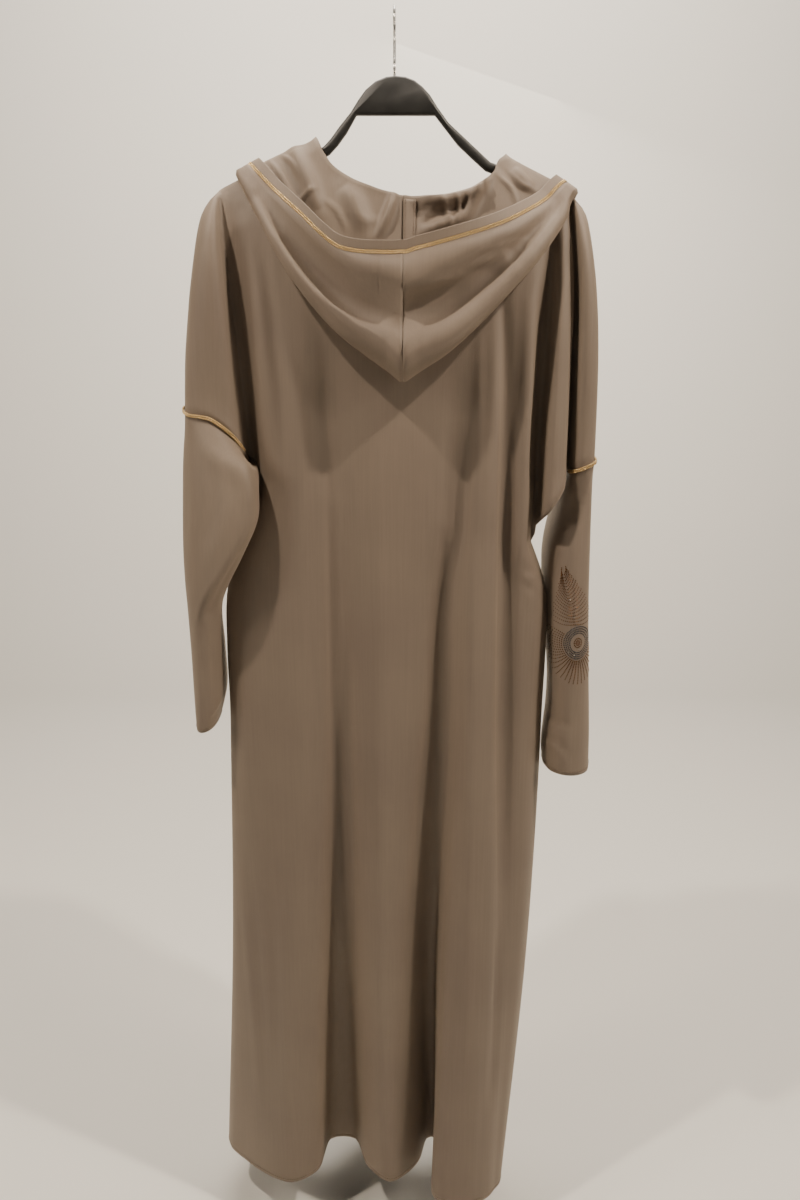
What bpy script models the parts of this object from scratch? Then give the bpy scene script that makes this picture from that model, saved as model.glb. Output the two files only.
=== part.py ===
"""Hooded robe on a hanger, seen from its back. Metres, +Z up.

The origin is where the hanger's hook bears on what holds it. The robe's back
faces -Y, its front +Y, and the wearer's left is at -X.
"""
import math

import bpy
from mathutils import Vector
from mathutils.bvhtree import BVHTree

# Cloth, cord and seams
CLOTH = 0.0016
SEAM_GAP = 0.0003
EDGE_STRIP = 0.003
CORD_RADIUS = 0.00125
CORD_SIDES = 6
CORD_END = 0.006
SLEEVE_GAP = 0.0005
SLEEVE_CORNER = 0.0024
BAND_HEIGHT = 0.010

# Heights of the sections
RIB_Z = -0.64
WAIST_Z = -0.80
KNEE_Z = -1.15
HEM_Z = -1.53

# Shoulder line, left to right: x and z of the seam over the hanger
RIDGE = (
    (-0.208, -0.1930), (-0.195, -0.1815), (-0.176, -0.1725), (-0.155, -0.1625),
    (-0.117, -0.1455), (-0.092, -0.1370), (0.128, -0.1540), (0.140, -0.1595),
    (0.156, -0.1670), (0.186, -0.1815), (0.201, -0.1910), (0.211, -0.2020),
)
NECK_LEFT = -0.092
NECK_RIGHT = 0.128
# The right shoulder's seam lies towards the back, by this much at its end
RIGHT_SEAM_START = 0.176
RIGHT_SEAM_SHIFT = 0.004

# How a panel falls away from the shoulder line: run along the cloth, drop, depth
FALL = (
    (0.000, 0.000, 0.0000), (0.003, 0.000, 0.0030), (0.010, 0.003, 0.0090),
    (0.020, 0.011, 0.0138), (0.060, 0.048, 0.0275), (0.110, 0.097, 0.0370),
    (0.180, 0.166, 0.0440), (0.370, 0.355, 0.0480),
)

# Neckline: x and run below the shoulder line
NECK_BACK = (
    (-0.092, 0.000), (-0.0885, 0.012), (-0.085, 0.021), (-0.072, 0.037), (-0.050, 0.048),
    (-0.014, 0.056), (0.024, 0.060), (0.054, 0.058), (0.084, 0.051), (0.106, 0.037),
    (0.121, 0.019), (0.1245, 0.011), (0.128, 0.000),
)
NECK_FRONT = (
    (-0.092, 0.000), (-0.0885, 0.014), (-0.084, 0.026), (-0.074, 0.044), (-0.040, 0.076),
    (0.010, 0.088), (0.054, 0.084), (0.090, 0.066), (0.112, 0.038), (0.1245, 0.014),
    (0.128, 0.000),
)

# Share of the way from the shoulder to the armpit, one for each row of the upper panels
UPPER_ROWS = (0.0, 0.01, 0.04, 0.09, 0.17, 0.28, 0.42, 0.58, 0.74, 0.88, 0.97, 0.985, 1.0)
# Rows between the armpit, rib, waist, knee and hem
LOWER_STEPS = (1, 2, 4, 4)

# Folds of the back, left side seam to right side seam.
# x at the top, then x and y at the armpit, waist, knee and hem
BACK_FOLDS = (
    ("side_left", -0.186, -0.160, 0.000, -0.213, 0.000, -0.229, 0.020, -0.2575, 0.049),
    ("turn_left", -0.178, -0.153, -0.014, -0.207, -0.013, -0.223, 0.006, -0.250, 0.030),
    ("flat_a", -0.158, -0.140, -0.033, -0.186, -0.030, -0.198, -0.015, -0.227, 0.009),
    ("flat_b", -0.126, -0.121, -0.045, -0.150, -0.041, -0.165, -0.031, -0.198, -0.013),
    ("ridge_1", -0.104, -0.102, -0.050, -0.111, -0.048, -0.133, -0.042, -0.152, -0.032),
    ("flank_1a", -0.092, -0.086, -0.046, -0.090, -0.040, -0.103, -0.030, -0.114, -0.008),
    ("valley_1a", -0.085, -0.074, -0.041, -0.079, -0.032, -0.086, -0.004, -0.101, 0.046),
    ("valley_1b", -0.072, -0.062, -0.040, -0.064, -0.030, -0.067, -0.003, -0.062, 0.046),
    ("flank_1b", -0.050, -0.044, -0.045, -0.044, -0.041, -0.048, -0.022, -0.045, 0.002),
    ("ridge_2", -0.014, -0.010, -0.051, -0.011, -0.052, -0.017, -0.045, -0.008, -0.031),
    ("flank_2a", 0.024, 0.038, -0.046, 0.030, -0.042, 0.022, -0.024, 0.034, 0.006),
    ("valley_2a", 0.054, 0.066, -0.038, 0.054, -0.028, 0.040, 0.000, 0.047, 0.047),
    ("valley_2b", 0.084, 0.080, -0.036, 0.069, -0.028, 0.055, 0.002, 0.060, 0.049),
    ("flank_2b", 0.106, 0.091, -0.045, 0.082, -0.046, 0.067, -0.042, 0.054, -0.056),
    ("ridge_3", 0.121, 0.104, -0.053, 0.100, -0.060, 0.100, -0.064, 0.094, -0.069),
    ("flank_3", 0.128, 0.120, -0.049, 0.122, -0.052, 0.132, -0.056, 0.130, -0.058),
    ("valley_3", 0.144, 0.137, -0.038, 0.142, -0.035, 0.152, -0.040, 0.142, -0.044),
    ("ridge_4", 0.159, 0.153, -0.042, 0.168, -0.032, 0.169, -0.030, 0.149, -0.036),
    ("turn_right", 0.169, 0.162, -0.022, 0.183, -0.016, 0.178, -0.015, 0.152, -0.030),
    ("side_right", 0.176, 0.167, 0.000, 0.189, 0.000, 0.181, -0.003, 0.153, -0.023),
)
FRONT_FOLDS = (
    ("side_left", -0.186, -0.160, 0.000, -0.213, 0.000, -0.229, 0.020, -0.2575, 0.049),
    ("turn_left", -0.178, -0.154, 0.020, -0.208, 0.016, -0.226, 0.038, -0.2560, 0.074),
    ("ridge_1a", -0.150, -0.135, 0.040, -0.182, 0.044, -0.200, 0.078, -0.228, 0.122),
    ("ridge_1b", -0.112, -0.105, 0.050, -0.145, 0.056, -0.158, 0.088, -0.172, 0.126),
    ("valley_1a", -0.092, -0.082, 0.047, -0.110, 0.050, -0.122, 0.070, -0.142, 0.096),
    ("valley_1b", -0.0885, -0.060, 0.046, -0.084, 0.048, -0.094, 0.068, -0.106, 0.094),
    ("flank_2a", -0.074, -0.046, 0.050, -0.068, 0.054, -0.076, 0.080, -0.088, 0.114),
    ("ridge_2a", -0.040, -0.030, 0.053, -0.050, 0.062, -0.056, 0.094, -0.068, 0.138),
    ("ridge_2b", 0.010, 0.006, 0.054, -0.004, 0.064, -0.010, 0.098, -0.020, 0.142),
    ("valley_2a", 0.054, 0.040, 0.049, 0.036, 0.052, 0.028, 0.072, 0.014, 0.096),
    ("valley_2b", 0.090, 0.066, 0.048, 0.066, 0.050, 0.060, 0.070, 0.050, 0.094),
    ("flank_3a", 0.112, 0.084, 0.051, 0.086, 0.056, 0.082, 0.082, 0.071, 0.114),
    ("ridge_3a", 0.1245, 0.098, 0.053, 0.103, 0.060, 0.100, 0.090, 0.090, 0.130),
    ("ridge_3b", 0.128, 0.124, 0.050, 0.136, 0.058, 0.130, 0.086, 0.122, 0.118),
    ("flank_3", 0.150, 0.146, 0.038, 0.166, 0.042, 0.160, 0.056, 0.146, 0.064),
    ("turn_right", 0.168, 0.161, 0.020, 0.184, 0.018, 0.178, 0.018, 0.153, 0.008),
    ("side_right", 0.176, 0.167, 0.000, 0.189, 0.000, 0.181, -0.003, 0.153, -0.023),
)
LEFT_ARMPIT_Z = -0.502
RIGHT_ARMPIT_Z = -0.583

# Cloth between the body and the sleeve: x at the top, x between, x and z at the
# underarm seam, y of the back and y of the front. The last row meets the sleeve
LEFT_UNDERARM = (
    ("middle", -0.191, -0.168, -0.168, -0.495, 0.000, 0.000),
    ("sleeve_end", -0.196, -0.1755, -0.1755, -0.482, 0.000, 0.000),
)
RIGHT_UNDERARM = (
    ("bottom", 0.1795, 0.1715, 0.1715, -0.574, 0.000, 0.000),
    ("wall", 0.183, 0.1825, 0.179, -0.559, -0.034, 0.014),
    ("crest", 0.187, 0.190, 0.187, -0.545, -0.052, 0.018),
    ("edge", 0.191, 0.1970, 0.195, -0.522, -0.038, 0.014),
    ("valley", 0.195, 0.2025, 0.2015, -0.503, 0.000, 0.000),
    ("sleeve_end", 0.199, 0.2065, 0.2070, -0.497, 0.000, 0.000),
)

# Overarm fold from the hanger's end to the elbow seam: x and z
LEFT_OVERARM = (
    (-0.208, -0.193), (-0.218, -0.213), (-0.225, -0.245), (-0.232, -0.278),
    (-0.239, -0.322), (-0.245, -0.367), (-0.249, -0.423),
)
RIGHT_OVERARM = (
    (0.211, -0.202), (0.216, -0.212), (0.221, -0.240), (0.227, -0.278),
    (0.232, -0.322), (0.235, -0.367), (0.2365, -0.420), (0.237, -0.481),
)
# Section of an upper sleeve from the overarm fold to the valley: way across and bulge
WING_SECTION = ((0.0, 0.0), (0.0, 0.0), (0.05, 0.50), (0.20, 0.92), (0.50, 1.0), (0.76, 0.74),
                (0.90, 0.34))
BACK_BULGE = 0.045
FRONT_BULGE = 0.052
LEFT_SEAM_BOW = 0.022

# Lower sleeves: z and x at the outer and inner fold, half depth, y of the middle,
# and how far the inner fold lies off the middle
LEFT_SLEEVE = (
    (-0.470, -0.515, -0.2530, -0.1690, 0.043, -0.005, -0.026),
    (-0.530, -0.548, -0.2565, -0.1630, 0.041, -0.008, -0.042),
    (-0.585, -0.592, -0.2585, -0.1810, 0.039, -0.010, -0.042),
    (-0.625, -0.630, -0.2580, -0.2015, 0.039, -0.010, -0.034),
    (-0.665, -0.665, -0.2570, -0.2155, 0.041, -0.005, -0.018),
    (-0.725, -0.725, -0.2565, -0.2175, 0.044, 0.000, -0.006),
    (-0.775, -0.775, -0.2560, -0.2185, 0.045, 0.000, 0.000),
    (-0.800, -0.800, -0.2555, -0.2240, 0.044, 0.000, 0.000),
    (-0.822, -0.820, -0.2545, -0.2300, 0.042, 0.000, 0.000),
)
RIGHT_SLEEVE = (
    (-0.525, -0.537, 0.2380, 0.2075, 0.052, 0.004, 0.000),
    (-0.585, -0.587, 0.2400, 0.2010, 0.055, 0.006, 0.000),
    (-0.660, -0.660, 0.2420, 0.1970, 0.054, 0.006, 0.000),
    (-0.755, -0.755, 0.2470, 0.1968, 0.051, 0.006, 0.000),
    (-0.800, -0.800, 0.2500, 0.1965, 0.049, 0.006, 0.000),
    (-0.830, -0.830, 0.2515, 0.1935, 0.047, 0.004, 0.000),
    (-0.856, -0.856, 0.2525, 0.1920, 0.046, 0.004, 0.000),
    (-0.880, -0.880, 0.2530, 0.1945, 0.045, 0.004, 0.000),
)
SLEEVE_ROUNDNESS = 0.85

# Hood, from the centre back over the shoulder to the centre front: turn round the
# neck in degrees, x of the neckline, cord x y z, fold x y z
LEFT_HOOD = (
    (0, 0.009, 0.009, -0.100, -0.259, 0.009, -0.078, -0.390),
    (8, -0.015, -0.017, -0.098, -0.259, -0.032, -0.075, -0.362),
    (20, -0.045, -0.060, -0.086, -0.252, -0.070, -0.072, -0.332),
    (38, -0.068, -0.100, -0.062, -0.217, -0.114, -0.064, -0.279),
    (62, -0.083, -0.133, -0.034, -0.187, -0.148, -0.042, -0.220),
    (90, -0.092, -0.162, 0.000, -0.1595, -0.176, 0.000, -0.1685),
    (125, -0.080, -0.132, 0.041, -0.195, -0.148, 0.040, -0.215),
    (160, -0.048, -0.076, 0.062, -0.232, -0.086, 0.058, -0.252),
    (180, 0.012, 0.006, 0.068, -0.245, 0.004, 0.063, -0.268),
)
RIGHT_HOOD = (
    (0, 0.009, 0.009, -0.100, -0.259, 0.009, -0.078, -0.390),
    (8, 0.035, 0.037, -0.098, -0.252, 0.058, -0.075, -0.360),
    (20, 0.072, 0.072, -0.092, -0.242, 0.100, -0.072, -0.320),
    (38, 0.102, 0.117, -0.073, -0.226, 0.146, -0.064, -0.274),
    (62, 0.119, 0.160, -0.038, -0.202, 0.183, -0.040, -0.226),
    (90, 0.128, 0.190, 0.000, -0.1785, 0.203, 0.000, -0.1890),
    (125, 0.116, 0.160, 0.041, -0.218, 0.178, 0.042, -0.240),
    (160, 0.080, 0.108, 0.062, -0.242, 0.118, 0.058, -0.262),
    (180, 0.014, 0.026, 0.068, -0.245, 0.028, 0.063, -0.268),
)
# Rows of the hood between two stations, closer together over the shoulder
HOOD_SHARES = (
    (0.0, 0.5), (0.0, 0.5), (0.0, 0.5), (0.0, 0.34, 0.67), (0.0, 0.28, 0.52, 0.72, 0.88),
    (0.0, 0.10, 0.24, 0.42, 0.68), (0.0, 0.5), (0.0, 0.5),
)
HOOD_NECK_CLEARANCE = 0.0024
HOOD_UNDER_CLEARANCE = 0.0036
HOOD_FOLD_CLEARANCE = 0.0060
HOOD_OUTER_CLEARANCE = 0.0084
HOOD_SHOULDER_SPARE = 0.0010
HOOD_NECK_RISE = 0.0050
HOOD_SIDE_RISE = 0.0050
# The hood's outer layer, cord to fold: way down and how far it stands out
HOOD_LAYER = ((0.0, 0.0), (0.22, 0.004), (0.46, -0.006), (0.60, 0.004), (0.74, 0.020),
              (0.90, 0.015))
HOOD_LAYER_HEIGHT = 0.131

# Hanger: top of the arch and its plate, x and z
HANGER_ARCH = (
    (-0.086, -0.1405), (-0.079, -0.1370), (-0.071, -0.1290), (-0.061, -0.1165),
    (-0.049, -0.1030), (-0.040, -0.0900), (-0.032, -0.0800), (-0.021, -0.0715),
    (-0.009, -0.0670), (0.001, -0.0660), (0.012, -0.0670), (0.022, -0.0705),
    (0.031, -0.0770), (0.039, -0.0850), (0.048, -0.0980), (0.060, -0.1130),
    (0.077, -0.1275), (0.095, -0.1430), (0.107, -0.1530), (0.119, -0.1570),
)
HANGER_ARCH_INSIDE = (-0.061, 0.060)
HANGER_PLATE_Z = -0.1055
HANGER_ARM = 0.0105
# Section of the hanger: y and how far the outline lies inside the full one
HANGER_SECTION = (
    (-0.0058, 0.0030), (-0.0044, 0.0011), (-0.0016, 0.0),
    (0.0016, 0.0), (0.0044, 0.0011), (0.0058, 0.0030),
)
HANGER_SEAT = 0.0027
HANGER_END_INSET = 0.004
HOOK_WIRE = 0.0016
HOOK_SIDES = 10
HOOK_RADIUS = 0.0200
HOOK_TIP_ANGLE = 190.0
HOOK_BACK_ANGLE = -42.0
HOOK_FOOT_Z = -0.0655


def interpolate(table, value, column=1):
    """Straight-line reading of one column of a table sorted by its first column."""
    if value <= table[0][0]:
        return table[0][column]
    for low, high in zip(table, table[1:]):
        if value <= high[0]:
            share = (value - low[0]) / (high[0] - low[0])
            return low[column] + share * (high[column] - low[column])
    return table[-1][column]


def smooth(value):
    """Ease from 0 to 1."""
    value = min(max(value, 0.0), 1.0)
    return value * value * (3.0 - 2.0 * value)


def spline(points, share, span):
    """Point on the centripetal curve through the points, in one span."""
    p1, p2 = points[span], points[span + 1]
    p0 = points[span - 1] if span > 0 else p1 * 2.0 - p2
    p3 = points[span + 2] if span + 2 < len(points) else p2 * 2.0 - p1
    d1 = max((p1 - p0).length, 1e-6) ** 0.5
    d2 = max((p2 - p1).length, 1e-6) ** 0.5
    d3 = max((p3 - p2).length, 1e-6) ** 0.5
    m1 = (p2 - p1) + ((p1 - p0) / d1 - (p2 - p0) / (d1 + d2)) * d2
    m2 = (p2 - p1) + ((p3 - p2) / d3 - (p3 - p1) / (d2 + d3)) * d2
    s2, s3 = share * share, share * share * share
    return (p1 * (2 * s3 - 3 * s2 + 1) + m1 * (s3 - 2 * s2 + share)
            + p2 * (3 * s2 - 2 * s3) + m2 * (s3 - s2))


def curve_through(points, steps):
    """Points along the curve, with a number of steps for each span."""
    result = []
    for span, count in enumerate(steps):
        result += [spline(points, step / count, span) for step in range(count)]
    return result + [points[-1].copy()]


def even_points(points, count):
    """The same path cut into equal lengths."""
    lengths = [0.0]
    for a, b in zip(points, points[1:]):
        lengths.append(lengths[-1] + (b - a).length)
    result = []
    for index in range(count + 1):
        target = lengths[-1] * index / count
        span = 0
        while span < len(points) - 2 and lengths[span + 1] < target:
            span += 1
        size = lengths[span + 1] - lengths[span]
        share = (target - lengths[span]) / size if size else 0.0
        result.append(points[span].lerp(points[span + 1], share))
    return result


def ridge_z(x):
    """Height of the shoulder line, carried straight across the neck."""
    return interpolate(RIDGE, x)


def seam_y(x):
    """How far the shoulder seam lies towards the back."""
    share = (x - RIGHT_SEAM_START) / (RIDGE[-1][0] - RIGHT_SEAM_START)
    return -RIGHT_SEAM_SHIFT * min(max(share, 0.0), 1.0)


def fall_point(x, run, side):
    """Point of the plain panel, by its run below the shoulder line."""
    drop = interpolate(FALL, run, 1)
    depth = interpolate(FALL, run, 2)
    if run > FALL[-1][0]:
        drop += run - FALL[-1][0]
    return Vector((x, side * depth, ridge_z(x) - drop))


def run_at(x, z):
    """Run below the shoulder line at which the plain panel reaches a height."""
    drop = ridge_z(x) - z
    if drop > FALL[-1][1]:
        return FALL[-1][0] + drop - FALL[-1][1]
    return interpolate([(row[1], row[0]) for row in FALL[1:]], drop)


def top_run(x, neckline):
    """Run at the panel's top edge: 0 on the shoulders, lower in the neck."""
    if NECK_LEFT < x < NECK_RIGHT:
        return interpolate(neckline, x)
    return 0.0


def body_upper(fold, side, neckline, early):
    """Upper points of one fold, from the shoulder or neckline to the armpit."""
    x_top, x_arm, y_arm = fold[1:4]
    share = (x_arm - BACK_FOLDS[0][2]) / (BACK_FOLDS[-1][2] - BACK_FOLDS[0][2])
    z_arm = LEFT_ARMPIT_Z + share * (RIGHT_ARMPIT_Z - LEFT_ARMPIT_Z)
    run_top = top_run(x_top, neckline)
    run_arm = run_at(x_arm, z_arm)
    points = []
    for t in UPPER_ROWS:
        point = fall_point(x_top + (x_arm - x_top) * t, run_top + (run_arm - run_top) * t, side)
        weight = 1.0 - (1.0 - t) ** 1.2 if early else smooth((t - 0.3) / 0.7)
        point.y += weight * (y_arm - point.y)
        if side * point.y < EDGE_STRIP and UPPER_ROWS[1] < t < 1.0:
            point.y = side * EDGE_STRIP
        points.append(point)
    return points


def body_lower(fold, armpit):
    """Points of one fold below the armpit, down to the hem."""
    x_waist, y_waist, x_knee, y_knee, x_hem, y_hem = fold[4:]
    rib = Vector((armpit.x + 0.9 * (x_waist - armpit.x), 0.5 * (armpit.y + y_waist), RIB_Z))
    levels = [
        armpit, rib, Vector((x_waist, y_waist, WAIST_Z)),
        Vector((x_knee, y_knee, KNEE_Z)), Vector((x_hem, y_hem, HEM_Z)),
    ]
    return curve_through(levels, LOWER_STEPS)


def underarm_upper(row, side):
    """Points of one line between the body and the sleeve."""
    x_top, x_between, x_seam, z_seam = row[1:5]
    y_line = row[5] if side < 0 else row[6]
    run_seam = run_at(x_seam, z_seam)
    points = []
    for t in UPPER_ROWS:
        x = x_top + (x_between - x_top) * (smooth(t / 0.4) if x_between > x_top > 0.0 else t)
        point = fall_point(x, run_seam * t, side)
        weight = 1.0 - (1.0 - t) ** 1.2 if y_line == 0.0 else smooth(t / 0.5)
        point.y += weight * (y_line - point.y)
        if side * point.y < EDGE_STRIP and y_line == 0.0:
            point.y = side * EDGE_STRIP
        points.append(point)
    points[-1] = Vector((x_seam, 0.0, z_seam))
    return points


def wing_lines(overarm, valley, side, bow):
    """Lines of an upper sleeve, from the overarm fold to beside its valley."""
    path = [Vector((x, seam_y(overarm[0][0]) * (1.0 - smooth(i / 4)), z))
            for i, (x, z) in enumerate(overarm)]
    path = even_points(curve_through(path, [4] * (len(path) - 1)), 200)
    bulge = BACK_BULGE if side < 0 else FRONT_BULGE
    lines = []
    for across, lift in WING_SECTION:
        line = []
        for row, t in enumerate(UPPER_ROWS):
            outer = path[round(t * 200)]
            point = outer.lerp(valley[row], across)
            point.y += side * bulge * lift * (1.0 - math.exp(-t / 0.12))
            point.z += bow * math.sin(math.pi * across ** 1.6) * t ** 4
            line.append(point)
        lines.append(line)
    return lines


def add_object(name, mesh, collection, finish):
    """Put a mesh into the scene as one named piece."""
    piece = bpy.data.objects.new(name, mesh)
    collection.objects.link(piece)
    mesh.materials.append(finish)
    return piece


def surface(rows, closed=False):
    """Points and faces of a grid. A point used in two cells is one corner, None is no cloth."""
    mesh_points = []
    numbers = {}
    known = {}
    faces = []
    for r, row in enumerate(rows):
        for c, point in enumerate(row):
            if point is not None:
                if id(point) not in known:
                    known[id(point)] = len(mesh_points)
                    mesh_points.append(point)
                numbers[r, c] = known[id(point)]
    for r in range(len(rows) - 1):
        width = len(rows[r])
        for c in range(width if closed else width - 1):
            cells = ((r, c), (r, (c + 1) % width), (r + 1, (c + 1) % width), (r + 1, c))
            corners = [numbers.get(cell) for cell in cells]
            if None not in corners and len(set(corners)) == 4:
                faces.append(corners)
    return mesh_points, faces


def cloth_sheet(name, rows, collection, finish, closed=False):
    """Open surface through rows of points, given the cloth's thickness."""
    mesh_points, faces = surface(rows, closed)
    mesh = bpy.data.meshes.new(name)
    mesh.from_pydata(mesh_points, [], faces)
    mesh.shade_smooth()
    piece = add_object(name, mesh, collection, finish)
    wall = piece.modifiers.new("cloth", "SOLIDIFY")
    wall.thickness = CLOTH
    wall.offset = 0.0
    return piece


def panel_rows(side, folds, neckline):
    """Grid of a body panel with its upper sleeves. None where there is no cloth."""
    body = []
    last = len(folds) - 1
    for index, fold in enumerate(folds):
        body.append(body_upper(fold, side, neckline, index in (0, 1, last - 1, last)))
    left_under = [underarm_upper(row, side) for row in LEFT_UNDERARM]
    right_under = [underarm_upper(row, side) for row in RIGHT_UNDERARM]
    left_wing = wing_lines(LEFT_OVERARM, left_under[-1], side, LEFT_SEAM_BOW)
    right_wing = wing_lines(RIGHT_OVERARM, right_under[-1], side, 0.0)
    lines = left_wing + left_under[::-1] + body + right_under + right_wing[::-1]
    first = len(left_wing) + len(left_under)
    steps = [1] * (len(lines) - 1)
    for span in range(first, first + last):
        steps[span] = 2 if side < 0 or span in (first, first + last - 1) else 1
    for span in (2, 3, 4, 5):
        steps[span] = 2
        steps[-1 - span] = 2

    rows = [curve_through([line[r] for line in lines], steps) for r in range(len(UPPER_ROWS))]
    start = sum(steps[:first])
    end = start + sum(steps[first:first + last])
    width = len(rows[0])
    left_end = sum(steps[:len(left_wing)])
    right_end = width - 1 - sum(steps[-len(right_wing):])
    half_gap = Vector((0.0, side * SEAM_GAP / 2.0, 0.0))
    strip = Vector((0.0, side * EDGE_STRIP, 0.0))
    up = Vector((0.0, 0.0, EDGE_STRIP))

    # The top edge follows the shoulder line, with a strip straight off the seam
    for c, point in enumerate(rows[0]):
        if not NECK_LEFT < point.x < NECK_RIGHT:
            rows[0][c] = Vector((point.x, seam_y(point.x), ridge_z(point.x))) + half_gap
            rows[1][c] = rows[0][c] + strip
    # So does the overarm seam. Its corner with the shoulder seam is one point
    for edge, inner in ((0, 1), (width - 1, width - 2)):
        for r in range(2, len(rows)):
            rows[r][edge] += half_gap
            rows[r][inner] = rows[r][edge] + strip
        corner = rows[0][edge]
        rows[0][inner] = rows[1][edge] = corner
        rows[1][inner] = corner + strip
        rows[0][edge] = None

    # The elbow seams have a strip straight up
    for c in list(range(left_end)) + list(range(right_end + 1, width)):
        rows[-2][c] = rows[-1][c] + up
    rings = (rows[-1][:left_end + 1], rows[-1][right_end:][::-1])
    # The underarm seams have one straight off the seam, and stop short of the sleeve
    for c in list(range(left_end, start + 1)) + list(range(end, right_end + 1)):
        rows[-1][c].y = half_gap.y
        rows[-2][c] = rows[-1][c] + strip
    rows[-1][left_end] = rows[-1][right_end] = None

    # The side seams go on from there, with their corners at the armpits as one point
    lower = [body_lower(fold, line[-1]) for fold, line in zip(folds, body)]
    lower_steps = steps[first:first + last]
    rows[-1][start + 1] = rows[-2][start]
    rows[-1][end - 1] = rows[-2][end]
    for r in range(1, len(lower[0])):
        cells = curve_through([line[r] for line in lower], lower_steps)
        for edge, inner in ((0, 1), (-1, -2)):
            cells[edge] += half_gap
            cells[inner] = cells[edge] + strip
        rows.append([None] * start + cells + [None] * (width - end - 1))
    return rows, rings


def sleeve_ring(back, front):
    """Elbow seam from the panels' own edges, with each point's angle round the arm."""
    ring = []
    for edge, start in ((back, 0.0), (front[::-1], math.pi)):
        lengths = [0.0]
        for a, b in zip(edge, edge[1:]):
            lengths.append(lengths[-1] + (b - a).length)
        for point, length in list(zip(edge, lengths))[:-1]:
            ring.append((point, start + math.pi * length / lengths[-1]))
    return ring


def sleeve_point(row, angle):
    """Point of a lower sleeve's section: outer fold, back, inner fold, front."""
    z_outer, z_inner, x_outer, x_inner, depth, y_middle, y_inner = row
    way = (1.0 - math.cos(angle)) / 2.0
    lift = math.copysign(abs(math.sin(angle)) ** SLEEVE_ROUNDNESS, math.sin(angle))
    return Vector((
        x_outer + (x_inner - x_outer) * way,
        y_middle + y_inner * way - depth * lift,
        z_outer + (z_inner - z_outer) * way,
    ))


def lower_sleeve(name, ring, table, collection, finish):
    """Lower sleeve: a tube from the elbow seam to the cuff."""
    columns = []
    away = math.copysign(SLEEVE_CORNER, ring[0][0].x)
    for point, angle in ring:
        near = math.exp(-((angle - math.pi) / 0.35) ** 2)
        top = point + Vector((away * near, 0.0, -SLEEVE_GAP - 0.5 * SLEEVE_CORNER * near))
        strip = top - Vector((0.0, 0.0, EDGE_STRIP))
        path = [strip] + [sleeve_point(row, angle) for row in table]
        columns.append([top] + curve_through(path, [2] + [1] * (len(table) - 1)))
    rows = [[column[r] for column in columns] for r in range(len(columns[0]))]
    return cloth_sheet(name, rows, collection, finish, closed=True)


def tube(name, points, radius, sides, collection, finish):
    """Round bar along a path, closed at both ends."""
    count = len(points)
    ways = []
    for index in range(count):
        before, after = points[max(index - 1, 0)], points[min(index + 1, count - 1)]
        ways.append((after - before).normalized())
    side = ways[0].orthogonal().normalized()
    corners = []
    for point, way in zip(points, ways):
        side = (side - way * side.dot(way)).normalized()
        over = way.cross(side)
        for step in range(sides):
            turn = 2.0 * math.pi * step / sides
            corners.append(point + radius * (side * math.cos(turn) + over * math.sin(turn)))
    faces = [list(range(sides))[::-1], list(range(sides * (count - 1), sides * count))]
    for ring in range(count - 1):
        low = ring * sides
        for step in range(sides):
            after = (step + 1) % sides
            faces.append([low + step, low + after, low + sides + after, low + sides + step])
    mesh = bpy.data.meshes.new(name)
    mesh.from_pydata(corners, [], faces)
    mesh.shade_smooth()
    return add_object(name, mesh, collection, finish)


def sleeve_cord(name, ring, collection, finish):
    """Cord on the elbow seam, made from the seam's points and moved out."""
    count = len(ring)
    inner = min(range(count), key=lambda i: abs(ring[i][1] - math.pi))
    corner = ring[inner][0]
    points = []
    for step in range(1, count):
        point = ring[(inner + step) % count][0]
        if (point - corner).length < CORD_END:
            continue
        if points and (point - points[-1]).length < CORD_RADIUS:
            points[-1] = points[-1].lerp(point, 0.5)
        else:
            points.append(point)
    turn = Vector((0.0, 0.0, math.copysign(1.0, corner.x)))
    path = []
    for index, point in enumerate(points):
        before, after = points[max(index - 1, 0)], points[min(index + 1, len(points) - 1)]
        out = turn.cross(after - before).normalized()
        sharp = max(0.6, out.dot(turn.cross(after - point if after != point else
                                           point - before).normalized()))
        path.append(point + out * (CLOTH / 2.0 + CORD_RADIUS + SEAM_GAP) / sharp)
    return tube(name, path, CORD_RADIUS, CORD_SIDES, collection, finish)


def clear_of_robe(point, distance, robe_tree, always):
    """Move a point out to a distance from the panels, always or where it is closer."""
    nearest, normal = robe_tree.find_nearest(point)[:2]
    if normal.dot(Vector((0.0, nearest.y, 0.02))) < 0.0:
        normal = -normal
    offset = point - nearest
    outside = offset.dot(normal) > 0.0 and offset.length > 1e-5
    if outside and not always and offset.length > distance:
        return point
    return nearest + (offset.normalized() if outside else normal) * distance


def hood_rows(table):
    """The hood's table with smooth rows between its own."""
    rows = []
    for span, shares in enumerate(HOOD_SHARES):
        for t in shares:
            before = table[max(span - 1, 0)]
            low, high = table[span], table[span + 1]
            after = table[min(span + 2, len(table) - 1)]
            rows.append([
                0.5 * (2 * b + (c - a) * t + (2 * a - 5 * b + 4 * c - d) * t * t
                       + (3 * b - a - 3 * c + d) * t ** 3)
                for a, b, c, d in zip(before, low, high, after)
            ])
    return rows + [list(table[-1])]


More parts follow.
